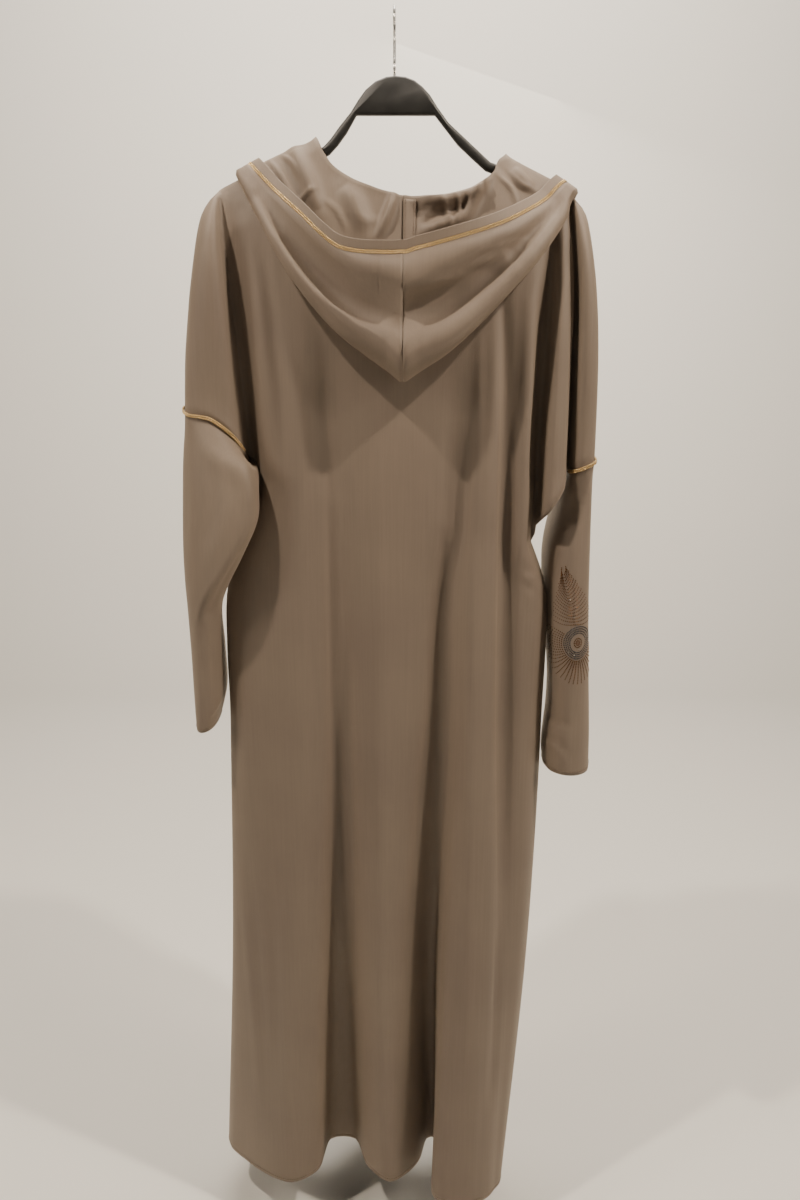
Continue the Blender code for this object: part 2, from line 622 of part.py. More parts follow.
def hood_section(row, neck_side, robe_tree):
    """Section of the hood: neck edge, under layer, fold, outer layer up to the cord."""
    turn, x_neck = math.radians(row[0]), row[1]
    cord_point, fold = Vector(row[2:5]), Vector(row[5:8])
    at_back = row[0] <= 90.0
    side = -1.0 if at_back else 1.0
    x_neck = min(max(x_neck, NECK_LEFT), NECK_RIGHT)
    run_neck = top_run(x_neck, NECK_BACK if at_back else NECK_FRONT)
    neck = fall_point(x_neck, run_neck, side)
    across = math.sin(turn)
    off = Vector((-neck_side * across, 0.0, 1.1 - 0.3 * across)).normalized()
    rise = HOOD_NECK_RISE + HOOD_SIDE_RISE * across
    extra = HOOD_SHOULDER_SPARE * across ** 4
    # The under layer follows the panel, moved out
    run_fold = run_at(fold.x, fold.z)
    under = []
    for share in (0.06, 0.28, 0.50, 0.75, 0.92):
        x = x_neck + (fold.x - x_neck) * share
        point = fall_point(x, run_neck + (run_fold - run_neck) * share, side)
        spare = 0.007 * share * abs(math.cos(turn)) if at_back else 0.0
        reach = HOOD_UNDER_CLEARANCE + spare + extra
        under.append(clear_of_robe(point, reach, robe_tree, True))
    base = under[0] + (neck - under[1]) * 0.1
    points = [base + off * rise, base + off * rise * 0.4] + under
    points.append(clear_of_robe(fold, HOOD_FOLD_CLEARANCE + extra, robe_tree, not at_back))
    # The outer layer rises to the cord
    out = Vector((0.0, -math.cos(turn), math.sin(turn)))
    scale = (fold - cord_point).length / HOOD_LAYER_HEIGHT if at_back else 0.0
    for way, stand in HOOD_LAYER[::-1]:
        point = cord_point.lerp(fold, way) + out * stand * scale
        reach = HOOD_OUTER_CLEARANCE + extra * 1.6
        points.append(clear_of_robe(point, reach, robe_tree, not at_back))
    return points


def hood_half(name, table, neck_side, robe_tree, collection, finish):
    """Half of the hood, from its centre seam to the centre front."""
    rows = [hood_section(row, neck_side, robe_tree) for row in hood_rows(table)]
    for end in (0, -1):
        for point in rows[end]:
            point.x += neck_side * SEAM_GAP / 2.0
    rows.insert(1, [point + Vector((neck_side * EDGE_STRIP, 0.0, 0.0)) for point in rows[0]])
    edge = [row[-1] for row in rows]
    inside = [row[-2] for row in rows]
    cloth_sheet(name, rows, collection, finish)
    return edge, inside


def material(name, colour, roughness, metallic):
    """Plain surface in the piece's colour."""
    finish = bpy.data.materials.new(name)
    finish.use_nodes = True
    shader = finish.node_tree.nodes["Principled BSDF"]
    shader.inputs["Base Color"].default_value = (*colour, 1.0)
    shader.inputs["Roughness"].default_value = roughness
    shader.inputs["Metallic"].default_value = metallic
    finish.diffuse_color = (*colour, 1.0)
    return finish


def hanger_outline():
    """Outline of the hanger: arch and arms above, plate and arms below."""
    inner = [Vector((x, z)) for x, z in HANGER_ARCH]
    seat = CLOTH / 2.0 + HANGER_SEAT
    left = [Vector((x, z - seat)) for x, z in RIDGE if x <= NECK_LEFT]
    right = [Vector((x, z - seat)) for x, z in RIDGE if x >= NECK_RIGHT]
    left[0] += Vector((HANGER_END_INSET, 0.002))
    right[-1] += Vector((-HANGER_END_INSET, 0.002))
    top = left + inner + right
    under = []
    for index, point in enumerate(top):
        before = top[max(index - 1, 0)]
        after = top[min(index + 1, len(top) - 1)]
        along = (after - before).normalized()
        down = Vector((along.y, -along.x))
        lower = point + down * HANGER_ARM
        in_arch = HANGER_ARCH_INSIDE[0] < point.x < HANGER_ARCH_INSIDE[1]
        if not in_arch:
            under.append(lower)
    plate = [Vector((-0.0420, HANGER_PLATE_Z)), Vector((0.0445, HANGER_PLATE_Z))]
    cut = next(i for i, point in enumerate(under) if point.x > 0.0)
    under = under[:cut] + plate + under[cut:]
    return top + under[::-1]


def hanger(collection, finish):
    """Moulded hanger: its outline at each depth of the section, closed at both sides."""
    outline = hanger_outline()
    count = len(outline)
    points = []
    for depth, inset in HANGER_SECTION:
        for index, point in enumerate(outline):
            along = (outline[(index + 1) % count] - outline[index - 1]).normalized()
            place = point + Vector((along.y, -along.x)) * inset
            points.append((place.x, depth, place.y))
    faces = [list(range(count))[::-1]]
    for ring in range(len(HANGER_SECTION) - 1):
        low = ring * count
        for index in range(count):
            after = (index + 1) % count
            faces.append([low + index, low + after, low + count + after, low + count + index])
    faces.append(list(range(len(points) - count, len(points))))
    mesh = bpy.data.meshes.new("hanger_body")
    mesh.from_pydata(points, [], faces)
    mesh.shade_smooth()
    return add_object("hanger_body", mesh, collection, finish)


def hook(collection, finish):
    """Steel hook, bent over from the far side to a tip at the near side."""
    centre = Vector((0.0, 0.0, HOOK_WIRE - HOOK_RADIUS))
    points = [Vector((0.0, 0.0, HOOK_FOOT_Z)), Vector((0.0, 0.0, -0.0570))]
    points += [Vector((0.0, 0.0040, -0.0490)), Vector((0.0, 0.0105, -0.0405))]
    angle = HOOK_BACK_ANGLE
    while angle <= HOOK_TIP_ANGLE:
        turn = math.radians(angle)
        points.append(centre + HOOK_RADIUS * Vector((0.0, math.cos(turn), math.sin(turn))))
        angle += 14.5
    path = curve_through(points, [2] * 4 + [1] * (len(points) - 5))
    return tube("hanger_hook", path, HOOK_WIRE, HOOK_SIDES, collection, finish)


for old in list(bpy.data.objects):
    bpy.data.objects.remove(old)
robe = bpy.data.collections.new("hooded_robe_on_hanger")
bpy.context.scene.collection.children.link(robe)

cloth = material("taupe_crepe", (0.235, 0.185, 0.140), 0.55, 0.0)
gold = material("gold_cord", (0.60, 0.40, 0.17), 0.40, 0.6)
plastic = material("black_plastic", (0.022, 0.022, 0.021), 0.45, 0.0)
steel = material("steel_wire", (0.55, 0.55, 0.54), 0.28, 1.0)

back_rows, back_rings = panel_rows(-1.0, BACK_FOLDS, NECK_BACK)
front_rows, front_rings = panel_rows(1.0, FRONT_FOLDS, NECK_FRONT)
cloth_sheet("back_panel", back_rows, robe, cloth)
cloth_sheet("front_panel", front_rows, robe, cloth)

for label, index, table in (("left", 0, LEFT_SLEEVE), ("right", 1, RIGHT_SLEEVE)):
    ring = sleeve_ring(back_rings[index], front_rings[index])
    lower_sleeve("sleeve_" + label, ring, table, robe, cloth)
    sleeve_cord("sleeve_cord_" + label, ring, robe, gold)

back_points, back_faces = surface(back_rows)
front_points, front_faces = surface(front_rows)
front_faces = [[corner + len(back_points) for corner in face] for face in front_faces]
robe_tree = BVHTree.FromPolygons(back_points + front_points, back_faces + front_faces)
left_edge, left_inside = hood_half("hood_left", LEFT_HOOD, -1.0, robe_tree, robe, cloth)
right_edge, right_inside = hood_half("hood_right", RIGHT_HOOD, 1.0, robe_tree, robe, cloth)
edge = left_edge[:0:-1] + right_edge[1:]
inside = left_inside[:0:-1] + right_inside[1:]
rise = [(a - b).normalized() for a, b in zip(edge, inside)]
rise = [(a + 2.0 * b + c).normalized() for a, b, c in zip(rise[:1] + rise, rise, rise[1:] + rise[-1:])]
lift = CORD_RADIUS + 2.0 * SEAM_GAP
hood_path = [p + d * lift for p, d in zip(edge, rise)]
tube("hood_cord", hood_path, CORD_RADIUS, CORD_SIDES, robe, gold)
band_low = 2.0 * lift
cloth_sheet("hood_band", [
    [p + d * band_low for p, d in zip(edge, rise)],
    [p + d * (band_low + BAND_HEIGHT / 2.0) for p, d in zip(edge, rise)],
    [p + d * (band_low + BAND_HEIGHT) for p, d in zip(edge, rise)],
], robe, cloth)

hanger(robe, plastic)
hook(robe, steel)
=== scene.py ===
"""Looks of the hooded robe on its hanger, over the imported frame. Metres, +Z up.

The robe hangs with its back to the camera, at -Y. The wearer's left is at -X.
"""
import math

import bmesh
import bpy
import numpy as np
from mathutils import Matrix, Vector
from mathutils.bvhtree import BVHTree


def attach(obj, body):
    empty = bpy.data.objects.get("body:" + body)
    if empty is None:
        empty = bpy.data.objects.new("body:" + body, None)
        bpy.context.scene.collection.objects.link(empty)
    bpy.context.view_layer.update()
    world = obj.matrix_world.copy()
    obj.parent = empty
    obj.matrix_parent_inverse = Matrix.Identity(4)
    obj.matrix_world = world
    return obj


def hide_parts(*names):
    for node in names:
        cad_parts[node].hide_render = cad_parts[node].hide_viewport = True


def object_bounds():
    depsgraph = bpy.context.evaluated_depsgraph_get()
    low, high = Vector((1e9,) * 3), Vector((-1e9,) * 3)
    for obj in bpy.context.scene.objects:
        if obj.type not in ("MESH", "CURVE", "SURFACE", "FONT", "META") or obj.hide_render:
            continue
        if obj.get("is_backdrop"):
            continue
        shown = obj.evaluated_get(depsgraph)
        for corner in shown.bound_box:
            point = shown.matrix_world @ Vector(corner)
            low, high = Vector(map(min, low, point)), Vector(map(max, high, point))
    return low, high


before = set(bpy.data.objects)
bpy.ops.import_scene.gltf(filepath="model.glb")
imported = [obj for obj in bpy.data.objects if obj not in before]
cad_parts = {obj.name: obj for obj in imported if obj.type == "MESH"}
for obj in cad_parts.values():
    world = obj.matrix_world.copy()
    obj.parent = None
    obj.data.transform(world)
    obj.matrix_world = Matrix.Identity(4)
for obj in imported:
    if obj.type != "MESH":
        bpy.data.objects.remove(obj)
cad_box = [list(corner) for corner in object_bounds()]

# Room: a pale floor that curves up into a pale wall behind the robe. Two small lamps
# above and in front make the shadows. The others are weak fills from both sides, from in
# front and from behind, and a strong one for the wall alone.
FLOOR_Z = -1.62
WALL_Y = 2.20
ROOM_WIDE = 6.0
ROOM_HIGH = 4.5
ROOM_CORNER = 0.35
CORNER_STEPS = 12
CAMERA_PLACE = (0.006, -1.13, -0.3637)
CAMERA_PITCH = 14.66
CAMERA_LENS = 27.87
# name, place, aim, size, power, colour
LAMPS = (
    ("lamp_left", (-0.90, -0.72, 1.09), (0.0, 0.0, -0.55), 0.07, 28.0, "#ffefdd"),
    ("lamp_right", (1.12, -0.66, 0.97), (0.0, 0.0, -0.55), 0.07, 31.0, "#ffefdd"),
    ("side_left", (-1.60, -0.85, 0.45), (-0.2, 0.0, -0.25), 0.25, 6.0, "#ffefdd"),
    ("side_right", (1.60, -0.85, 0.45), (0.2, 0.0, -0.35), 0.25, 8.0, "#ffefdd"),
    ("low_left", (-1.90, -0.80, 0.10), (0.0, 0.0, -1.15), 0.40, 8.0, "#ffefdd"),
    ("low_right", (1.90, -0.80, 0.10), (0.0, 0.0, -1.15), 0.40, 8.0, "#ffefdd"),
    ("lamp_wide", (0.10, -3.40, 0.60), (0.0, 0.0, -0.90), 2.60, 2.5, "#fbf7f2"),
    ("lamp_wall", (0.0, 0.90, 2.10), (0.0, WALL_Y, -0.80), 2.00, 105.0, "#fff6ea"),
    ("lamp_front", (0.50, 1.80, 0.90), (0.0, 0.0, -0.70), 1.20, 7.0, "#fff6ea"),
)


def linear(code):
    """Linear colour of an sRGB hex code."""
    parts = [int(code[i:i + 2], 16) / 255.0 for i in (1, 3, 5)]
    return [p / 12.92 if p <= 0.04045 else ((p + 0.055) / 1.055) ** 2.4 for p in parts]


def add_node(tree, kind, inputs=None, **settings):
    """Add a node. Inputs take a value, or another node's output."""
    made = tree.nodes.new(kind)
    for key, value in settings.items():
        setattr(made, key, value)
    for key, value in (inputs or {}).items():
        if isinstance(value, bpy.types.NodeSocket):
            tree.links.new(value, made.inputs[key])
        else:
            made.inputs[key].default_value = value
    return made


def new_material(name):
    """Empty material with its shader and its coordinates."""
    made = bpy.data.materials.new(name)
    made.use_nodes = True
    tree = made.node_tree
    tree.nodes.clear()
    shader = add_node(tree, "ShaderNodeBsdfPrincipled")
    add_node(tree, "ShaderNodeOutputMaterial", {"Surface": shader.outputs["BSDF"]})
    place = add_node(tree, "ShaderNodeTexCoord").outputs["Object"]
    return made, tree, shader, place


bpy.ops.object.select_all(action="DESELECT")
bpy.ops.mesh.primitive_plane_add(size=ROOM_WIDE,
                                 location=(0.0, WALL_Y - ROOM_WIDE / 2.0, FLOOR_Z))
room = bpy.context.object
room.name = "room"
bpy.ops.object.mode_set(mode="EDIT")
bpy.ops.mesh.select_all(action="DESELECT")
shape = bmesh.from_edit_mesh(room.data)
far = 0.49 * ROOM_WIDE
for edge in shape.edges:
    edge.select = all(vert.co.y > far for vert in edge.verts)
bmesh.update_edit_mesh(room.data)
bpy.ops.mesh.extrude_region_move(TRANSFORM_OT_translate={"value": (0.0, 0.0, ROOM_HIGH)})
bpy.ops.mesh.select_all(action="DESELECT")
shape = bmesh.from_edit_mesh(room.data)
for edge in shape.edges:
    edge.select = all(vert.co.y > far and vert.co.z < ROOM_CORNER for vert in edge.verts)
bmesh.update_edit_mesh(room.data)
bpy.ops.mesh.bevel(offset=ROOM_CORNER, segments=CORNER_STEPS)
bpy.ops.object.mode_set(mode="OBJECT")
bpy.ops.object.shade_smooth()
room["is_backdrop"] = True

# Matt emulsion paint, rolled on: one pale, even tone with no shine, on wall and floor
wall_paint, tree, shader, place = new_material("pale_matt_paint")
shader.inputs["Base Color"].default_value = (*linear("#efece4"), 1.0)
shader.inputs["Roughness"].default_value = 0.85
room.data.materials.append(wall_paint)

for name, spot, aim, size, power, colour in LAMPS:
    bpy.ops.object.light_add(type="AREA", location=spot)
    lamp = bpy.context.object
    lamp.name = name
    lamp.data.size = size
    lamp.data.energy = power
    lamp.data.color = linear(colour)
    lamp.rotation_euler = (Vector(aim) - Vector(spot)).to_track_quat("-Z", "Y").to_euler()

world = bpy.data.worlds.new("studio")
bpy.context.scene.world = world
world.use_nodes = True
world.node_tree.nodes["Background"].inputs["Color"].default_value = (*linear("#f1efeb"), 1.0)
world.node_tree.nodes["Background"].inputs["Strength"].default_value = 0.025

bpy.ops.object.camera_add(location=CAMERA_PLACE)
camera = bpy.context.object
camera.rotation_euler = (math.radians(90.0 - CAMERA_PITCH), 0.0, 0.0)
camera.data.sensor_width = 36.0
camera.data.lens = CAMERA_LENS
bpy.context.scene.camera = camera


# Hanger: moulded black plastic, a solid arch with thin arms. It keeps the solid's
# shape, with its loose faces joined so that the light runs over it.
# Points closer than this are one. Faces that turn less than FLAT_TURN become one face,
# and edges that turn more than SHARP_TURN stay sharp, in degrees.
SAME_POINT = 0.00002
FLAT_TURN = 1.0
SHARP_TURN = 40.0


def own_copy(node, name):
    """Merged copy of a solid, smooth except at its sharp edges."""
    bpy.ops.object.select_all(action="DESELECT")
    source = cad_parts[node]
    piece = bpy.data.objects.new(name, source.data.copy())
    bpy.context.scene.collection.objects.link(piece)
    piece.data.materials.clear()
    piece.select_set(True)
    bpy.context.view_layer.objects.active = piece
    bpy.ops.object.mode_set(mode="EDIT")
    bpy.ops.mesh.select_all(action="SELECT")
    bpy.ops.mesh.remove_doubles(threshold=SAME_POINT)
    bpy.ops.mesh.dissolve_limited(angle_limit=math.radians(FLAT_TURN))
    bpy.ops.object.mode_set(mode="OBJECT")
    bpy.ops.object.shade_smooth_by_angle(angle=math.radians(SHARP_TURN))
    return piece


hanger = own_copy("hanger_body", "hanger_shape")
# Satin moulded plastic: near black, with a faint grain and small scuffs
plastic, tree, shader, place = new_material("moulded_black_plastic")
grain = add_node(tree, "ShaderNodeTexNoise", {"Vector": place, "Scale": 900.0, "Detail": 2.0})
scuff = add_node(tree, "ShaderNodeTexNoise", {"Vector": place, "Scale": 60.0, "Detail": 5.0})
tone = add_node(tree, "ShaderNodeValToRGB", {"Fac": scuff.outputs["Fac"]})
tone.color_ramp.elements[0].color = (*linear("#1e1e1d"), 1.0)
tone.color_ramp.elements[1].color = (*linear("#383836"), 1.0)
bump = add_node(tree, "ShaderNodeBump", {"Height": grain.outputs["Fac"], "Strength": 0.15,
                                         "Distance": 0.0002})
gloss = add_node(tree, "ShaderNodeMapRange", {"Value": scuff.outputs["Fac"], "To Min": 0.38,
                                              "To Max": 0.55})
tree.links.new(tone.outputs["Color"], shader.inputs["Base Color"])
tree.links.new(gloss.outputs["Result"], shader.inputs["Roughness"])
tree.links.new(bump.outputs["Normal"], shader.inputs["Normal"])
hanger.data.materials.append(plastic)
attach(hanger, "root")
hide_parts("hanger_body")

# Hook: steel wire of 3.2 mm, bent over and held in the top of the hanger's arch.
# It keeps the solid's shape, smooth all round.
hook = own_copy("hanger_hook", "hook_wire")
bpy.ops.object.shade_smooth()
# Drawn steel wire: bright grey metal, with small rougher patches from the drawing
steel, tree, shader, place = new_material("drawn_steel_wire")
shader.inputs["Base Color"].default_value = (*linear("#b9b8b4"), 1.0)
shader.inputs["Metallic"].default_value = 1.0
lines = add_node(tree, "ShaderNodeTexNoise", {"Vector": place, "Scale": 700.0, "Detail": 3.0})
gloss = add_node(tree, "ShaderNodeMapRange", {"Value": lines.outputs["Fac"], "To Min": 0.18,
                                              "To Max": 0.36})
tree.links.new(gloss.outputs["Result"], shader.inputs["Roughness"])
hook.data.materials.append(steel)
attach(hook, "root")
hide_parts("hanger_hook")


# Back: one wide piece of taupe crepe with the back halves of the batwing sleeves,
# sewn to the front over the shoulders and arms, under the arms and down the sides.
# Its folds fall from the hanger, on the lines of the solid.
# Gap between two pieces at a seam, and the strip that stands straight off the seam
SEAM_GAP = 0.0003
EDGE_STRIP = 0.003

# Heights of the sections
RIB_Z = -0.64
WAIST_Z = -0.80
KNEE_Z = -1.15
HEM_Z = -1.53

# Shoulder line, left to right: x and z of the seam over the hanger
RIDGE = (
    (-0.208, -0.1930), (-0.195, -0.1815), (-0.176, -0.1725), (-0.155, -0.1625),
    (-0.117, -0.1455), (-0.092, -0.1370), (0.128, -0.1540), (0.140, -0.1595),
    (0.156, -0.1670), (0.186, -0.1815), (0.201, -0.1910), (0.211, -0.2020),
)
NECK_LEFT = -0.092
NECK_RIGHT = 0.128
# The right shoulder's seam lies towards the back, by this much at its end
RIGHT_SEAM_START = 0.176
RIGHT_SEAM_SHIFT = 0.004

# How a panel falls away from the shoulder line: run along the cloth, drop, depth
FALL = (
    (0.000, 0.000, 0.0000), (0.003, 0.000, 0.0030), (0.010, 0.003, 0.0090),
    (0.020, 0.011, 0.0138), (0.060, 0.048, 0.0275), (0.110, 0.097, 0.0370),
    (0.180, 0.166, 0.0440), (0.370, 0.355, 0.0480),
)

# Neckline: x and run below the shoulder line
NECK_BACK = (
    (-0.092, 0.000), (-0.0885, 0.012), (-0.085, 0.021), (-0.072, 0.037), (-0.050, 0.048),
    (-0.014, 0.056), (0.024, 0.060), (0.054, 0.058), (0.084, 0.051), (0.106, 0.037),
    (0.121, 0.019), (0.1245, 0.011), (0.128, 0.000),
)
NECK_FRONT = (
    (-0.092, 0.000), (-0.0885, 0.014), (-0.084, 0.026), (-0.074, 0.044), (-0.040, 0.076),
    (0.010, 0.088), (0.054, 0.084), (0.090, 0.066), (0.112, 0.038), (0.1245, 0.014),
    (0.128, 0.000),
)

# Share of the way from the shoulder to the armpit, one for each row of the upper panels
UPPER_ROWS = (0.0, 0.01, 0.04, 0.09, 0.17, 0.28, 0.42, 0.58, 0.74, 0.88, 0.97, 0.985, 1.0)
# Rows between the armpit, rib, waist, knee and hem
LOWER_STEPS = (1, 2, 4, 4)

# Folds of the back, left side seam to right side seam.
# x at the top, then x and y at the armpit, waist, knee and hem
BACK_FOLDS = (
    ("side_left", -0.186, -0.167, 0.000, -0.213, 0.000, -0.229, 0.020, -0.2575, 0.049),
    ("turn_left", -0.178, -0.159, -0.014, -0.207, -0.013, -0.223, 0.006, -0.250, 0.030),
    ("flat_a", -0.158, -0.140, -0.033, -0.186, -0.030, -0.198, -0.015, -0.227, 0.009),
    ("flat_b", -0.126, -0.121, -0.045, -0.150, -0.041, -0.165, -0.031, -0.198, -0.013),
    ("ridge_1", -0.104, -0.102, -0.050, -0.111, -0.048, -0.133, -0.042, -0.152, -0.032),
    ("flank_1a", -0.092, -0.086, -0.046, -0.090, -0.040, -0.103, -0.030, -0.114, -0.008),
    ("valley_1a", -0.085, -0.074, -0.041, -0.079, -0.032, -0.086, -0.004, -0.101, 0.046),
    ("valley_1b", -0.072, -0.062, -0.040, -0.064, -0.030, -0.067, -0.003, -0.062, 0.046),
    ("flank_1b", -0.050, -0.044, -0.045, -0.044, -0.041, -0.048, -0.022, -0.045, 0.002),
    ("ridge_2", -0.014, -0.010, -0.051, -0.011, -0.052, -0.017, -0.045, -0.008, -0.031),
    ("flank_2a", 0.024, 0.038, -0.046, 0.030, -0.042, 0.022, -0.024, 0.034, 0.006),
    ("valley_2a", 0.054, 0.066, -0.038, 0.054, -0.028, 0.040, 0.000, 0.047, 0.047),
    ("valley_2b", 0.084, 0.080, -0.036, 0.069, -0.028, 0.055, 0.002, 0.060, 0.049),
    ("flank_2b", 0.106, 0.091, -0.045, 0.082, -0.046, 0.067, -0.042, 0.054, -0.056),
    ("ridge_3", 0.121, 0.104, -0.053, 0.100, -0.060, 0.100, -0.064, 0.094, -0.069),
    ("flank_3", 0.128, 0.120, -0.049, 0.122, -0.052, 0.132, -0.056, 0.130, -0.058),
    ("valley_3", 0.144, 0.137, -0.038, 0.142, -0.035, 0.152, -0.040, 0.142, -0.044),
    ("ridge_4", 0.159, 0.153, -0.042, 0.168, -0.032, 0.169, -0.030, 0.149, -0.036),
    ("turn_right", 0.169, 0.162, -0.022, 0.183, -0.016, 0.178, -0.015, 0.152, -0.030),
    ("side_right", 0.176, 0.167, 0.000, 0.189, 0.000, 0.181, -0.003, 0.153, -0.023),
)
LEFT_ARMPIT_Z = -0.502
RIGHT_ARMPIT_Z = -0.583

# Cloth between the body and the sleeve: x at the top, x between, x and z at the
# underarm seam, y of the back and y of the front. The last row meets the sleeve
LEFT_UNDERARM = (
    ("middle", -0.191, -0.168, -0.168, -0.495, 0.000, 0.000),
    ("sleeve_end", -0.196, -0.1755, -0.1755, -0.482, 0.000, 0.000),
)
RIGHT_UNDERARM = (
    ("bottom", 0.1795, 0.1715, 0.1715, -0.574, 0.000, 0.000),
    ("wall", 0.182, 0.1745, 0.1730, -0.563, -0.033, 0.014),
    ("crest", 0.186, 0.1800, 0.1780, -0.552, -0.051, 0.018),
    ("edge", 0.191, 0.1985, 0.1960, -0.522, -0.043, 0.014),
    ("valley", 0.195, 0.2025, 0.2015, -0.503, 0.000, 0.000),
    ("sleeve_end", 0.199, 0.2065, 0.2070, -0.497, 0.000, 0.000),
)

# Overarm fold from the hanger's end to the elbow seam: x and z
LEFT_OVERARM = (
    (-0.208, -0.193), (-0.218, -0.213), (-0.225, -0.245), (-0.232, -0.278),
    (-0.239, -0.322), (-0.245, -0.367), (-0.249, -0.423),
)
RIGHT_OVERARM = (
    (0.211, -0.202), (0.216, -0.212), (0.221, -0.240), (0.227, -0.278),
    (0.232, -0.322), (0.235, -0.367), (0.2365, -0.420), (0.237, -0.481),
)
# Section of an upper sleeve from the overarm fold to the valley: way across and bulge
WING_SECTION = ((0.0, 0.0), (0.0, 0.0), (0.05, 0.50), (0.20, 0.92), (0.50, 1.0), (0.80, 0.86),
                (0.94, 0.46))
BACK_BULGE = 0.045
FRONT_BULGE = 0.052
# How far the left elbow seam bows up between its ends
LEFT_SEAM_BOW = 0.022
# Points along an overarm fold, and how soon the sleeve bulges below the shoulder
OVERARM_POINTS = 200
BULGE_START = 0.12


def interpolate(table, value, column=1):
    """Straight-line reading of one column of a table sorted by its first column."""
    if value <= table[0][0]:
        return table[0][column]
    for low, high in zip(table, table[1:]):
        if value <= high[0]:
            share = (value - low[0]) / (high[0] - low[0])
            return low[column] + share * (high[column] - low[column])
    return table[-1][column]


def smooth(value):
    """Ease from 0 to 1."""
    value = min(max(value, 0.0), 1.0)
    return value * value * (3.0 - 2.0 * value)


def spline(points, share, span):
    """Point on the centripetal curve through the points, in one span."""
    p1, p2 = points[span], points[span + 1]
    p0 = points[span - 1] if span > 0 else p1 * 2.0 - p2
    p3 = points[span + 2] if span + 2 < len(points) else p2 * 2.0 - p1
    # A seam's narrow strip doesn't steer the cloth beside it
    narrow = 1.4 * EDGE_STRIP
    if (p1 - p0).length < narrow < (p2 - p1).length:
        p0 = p1 * 2.0 - p2
    if (p3 - p2).length < narrow < (p2 - p1).length:
        p3 = p2 * 2.0 - p1
    d1 = max((p1 - p0).length, 1e-6) ** 0.5
    d2 = max((p2 - p1).length, 1e-6) ** 0.5
    d3 = max((p3 - p2).length, 1e-6) ** 0.5
    m1 = (p2 - p1) + ((p1 - p0) / d1 - (p2 - p0) / (d1 + d2)) * d2
    m2 = (p2 - p1) + ((p3 - p2) / d3 - (p3 - p1) / (d2 + d3)) * d2
    s2, s3 = share * share, share * share * share
    return (p1 * (2 * s3 - 3 * s2 + 1) + m1 * (s3 - 2 * s2 + share)
            + p2 * (3 * s2 - 2 * s3) + m2 * (s3 - s2))


def curve_through(points, steps):
    """Points along the curve, with a number of steps for each span."""
    result = []
    for span, count in enumerate(steps):
        result += [spline(points, step / count, span) for step in range(count)]
    return result + [points[-1].copy()]


def even_points(points, count):
    """The same path cut into equal lengths."""
    lengths = [0.0]
    for a, b in zip(points, points[1:]):
        lengths.append(lengths[-1] + (b - a).length)
    result = []
    for index in range(count + 1):
        target = lengths[-1] * index / count
        span = 0
        while span < len(points) - 2 and lengths[span + 1] < target:
            span += 1
        size = lengths[span + 1] - lengths[span]
        share = (target - lengths[span]) / size if size else 0.0
        result.append(points[span].lerp(points[span + 1], share))
    return result


def ridge_z(x):
    """Height of the shoulder line, carried straight across the neck."""
    return interpolate(RIDGE, x)


def seam_y(x):
    """How far the shoulder seam lies towards the back."""
    share = (x - RIGHT_SEAM_START) / (RIDGE[-1][0] - RIGHT_SEAM_START)
    return -RIGHT_SEAM_SHIFT * min(max(share, 0.0), 1.0)


def fall_point(x, run, side):
    """Point of the plain panel, by its run below the shoulder line."""
    drop = interpolate(FALL, run, 1)
    depth = interpolate(FALL, run, 2)
    if run > FALL[-1][0]:
        drop += run - FALL[-1][0]
    return Vector((x, side * depth, ridge_z(x) - drop))


def run_at(x, z):
    """Run below the shoulder line at which the plain panel reaches a height."""
    drop = ridge_z(x) - z
    if drop > FALL[-1][1]:
        return FALL[-1][0] + drop - FALL[-1][1]
    return interpolate([(row[1], row[0]) for row in FALL[1:]], drop)


def top_run(x, neckline):
    """Run at the panel's top edge: 0 on the shoulders, lower in the neck."""
    if NECK_LEFT < x < NECK_RIGHT:
        return interpolate(neckline, x)
    return 0.0


def body_upper(fold, side, neckline, early):
    """Upper points of one fold, from the shoulder or neckline to the armpit."""
    x_top, x_arm, y_arm = fold[1:4]
    share = (x_arm - BACK_FOLDS[0][2]) / (BACK_FOLDS[-1][2] - BACK_FOLDS[0][2])
    z_arm = LEFT_ARMPIT_Z + share * (RIGHT_ARMPIT_Z - LEFT_ARMPIT_Z)
    run_top = top_run(x_top, neckline)
    run_arm = run_at(x_arm, z_arm)
    points = []
    for t in UPPER_ROWS:
        point = fall_point(x_top + (x_arm - x_top) * t, run_top + (run_arm - run_top) * t, side)
        weight = 1.0 - (1.0 - t) ** 1.2 if early else smooth((t - 0.3) / 0.7)
        point.y += weight * (y_arm - point.y)
        if side * point.y < EDGE_STRIP and UPPER_ROWS[1] < t < 1.0:
            point.y = side * EDGE_STRIP
        points.append(point)
    return points


def body_lower(fold, armpit):
    """Points of one fold below the armpit, down to the hem."""
    x_waist, y_waist, x_knee, y_knee, x_hem, y_hem = fold[4:]
    rib = Vector((armpit.x + 0.9 * (x_waist - armpit.x), 0.5 * (armpit.y + y_waist), RIB_Z))
    levels = [
        armpit, rib, Vector((x_waist, y_waist, WAIST_Z)),
        Vector((x_knee, y_knee, KNEE_Z)), Vector((x_hem, y_hem, HEM_Z)),
    ]
    return curve_through(levels, LOWER_STEPS)


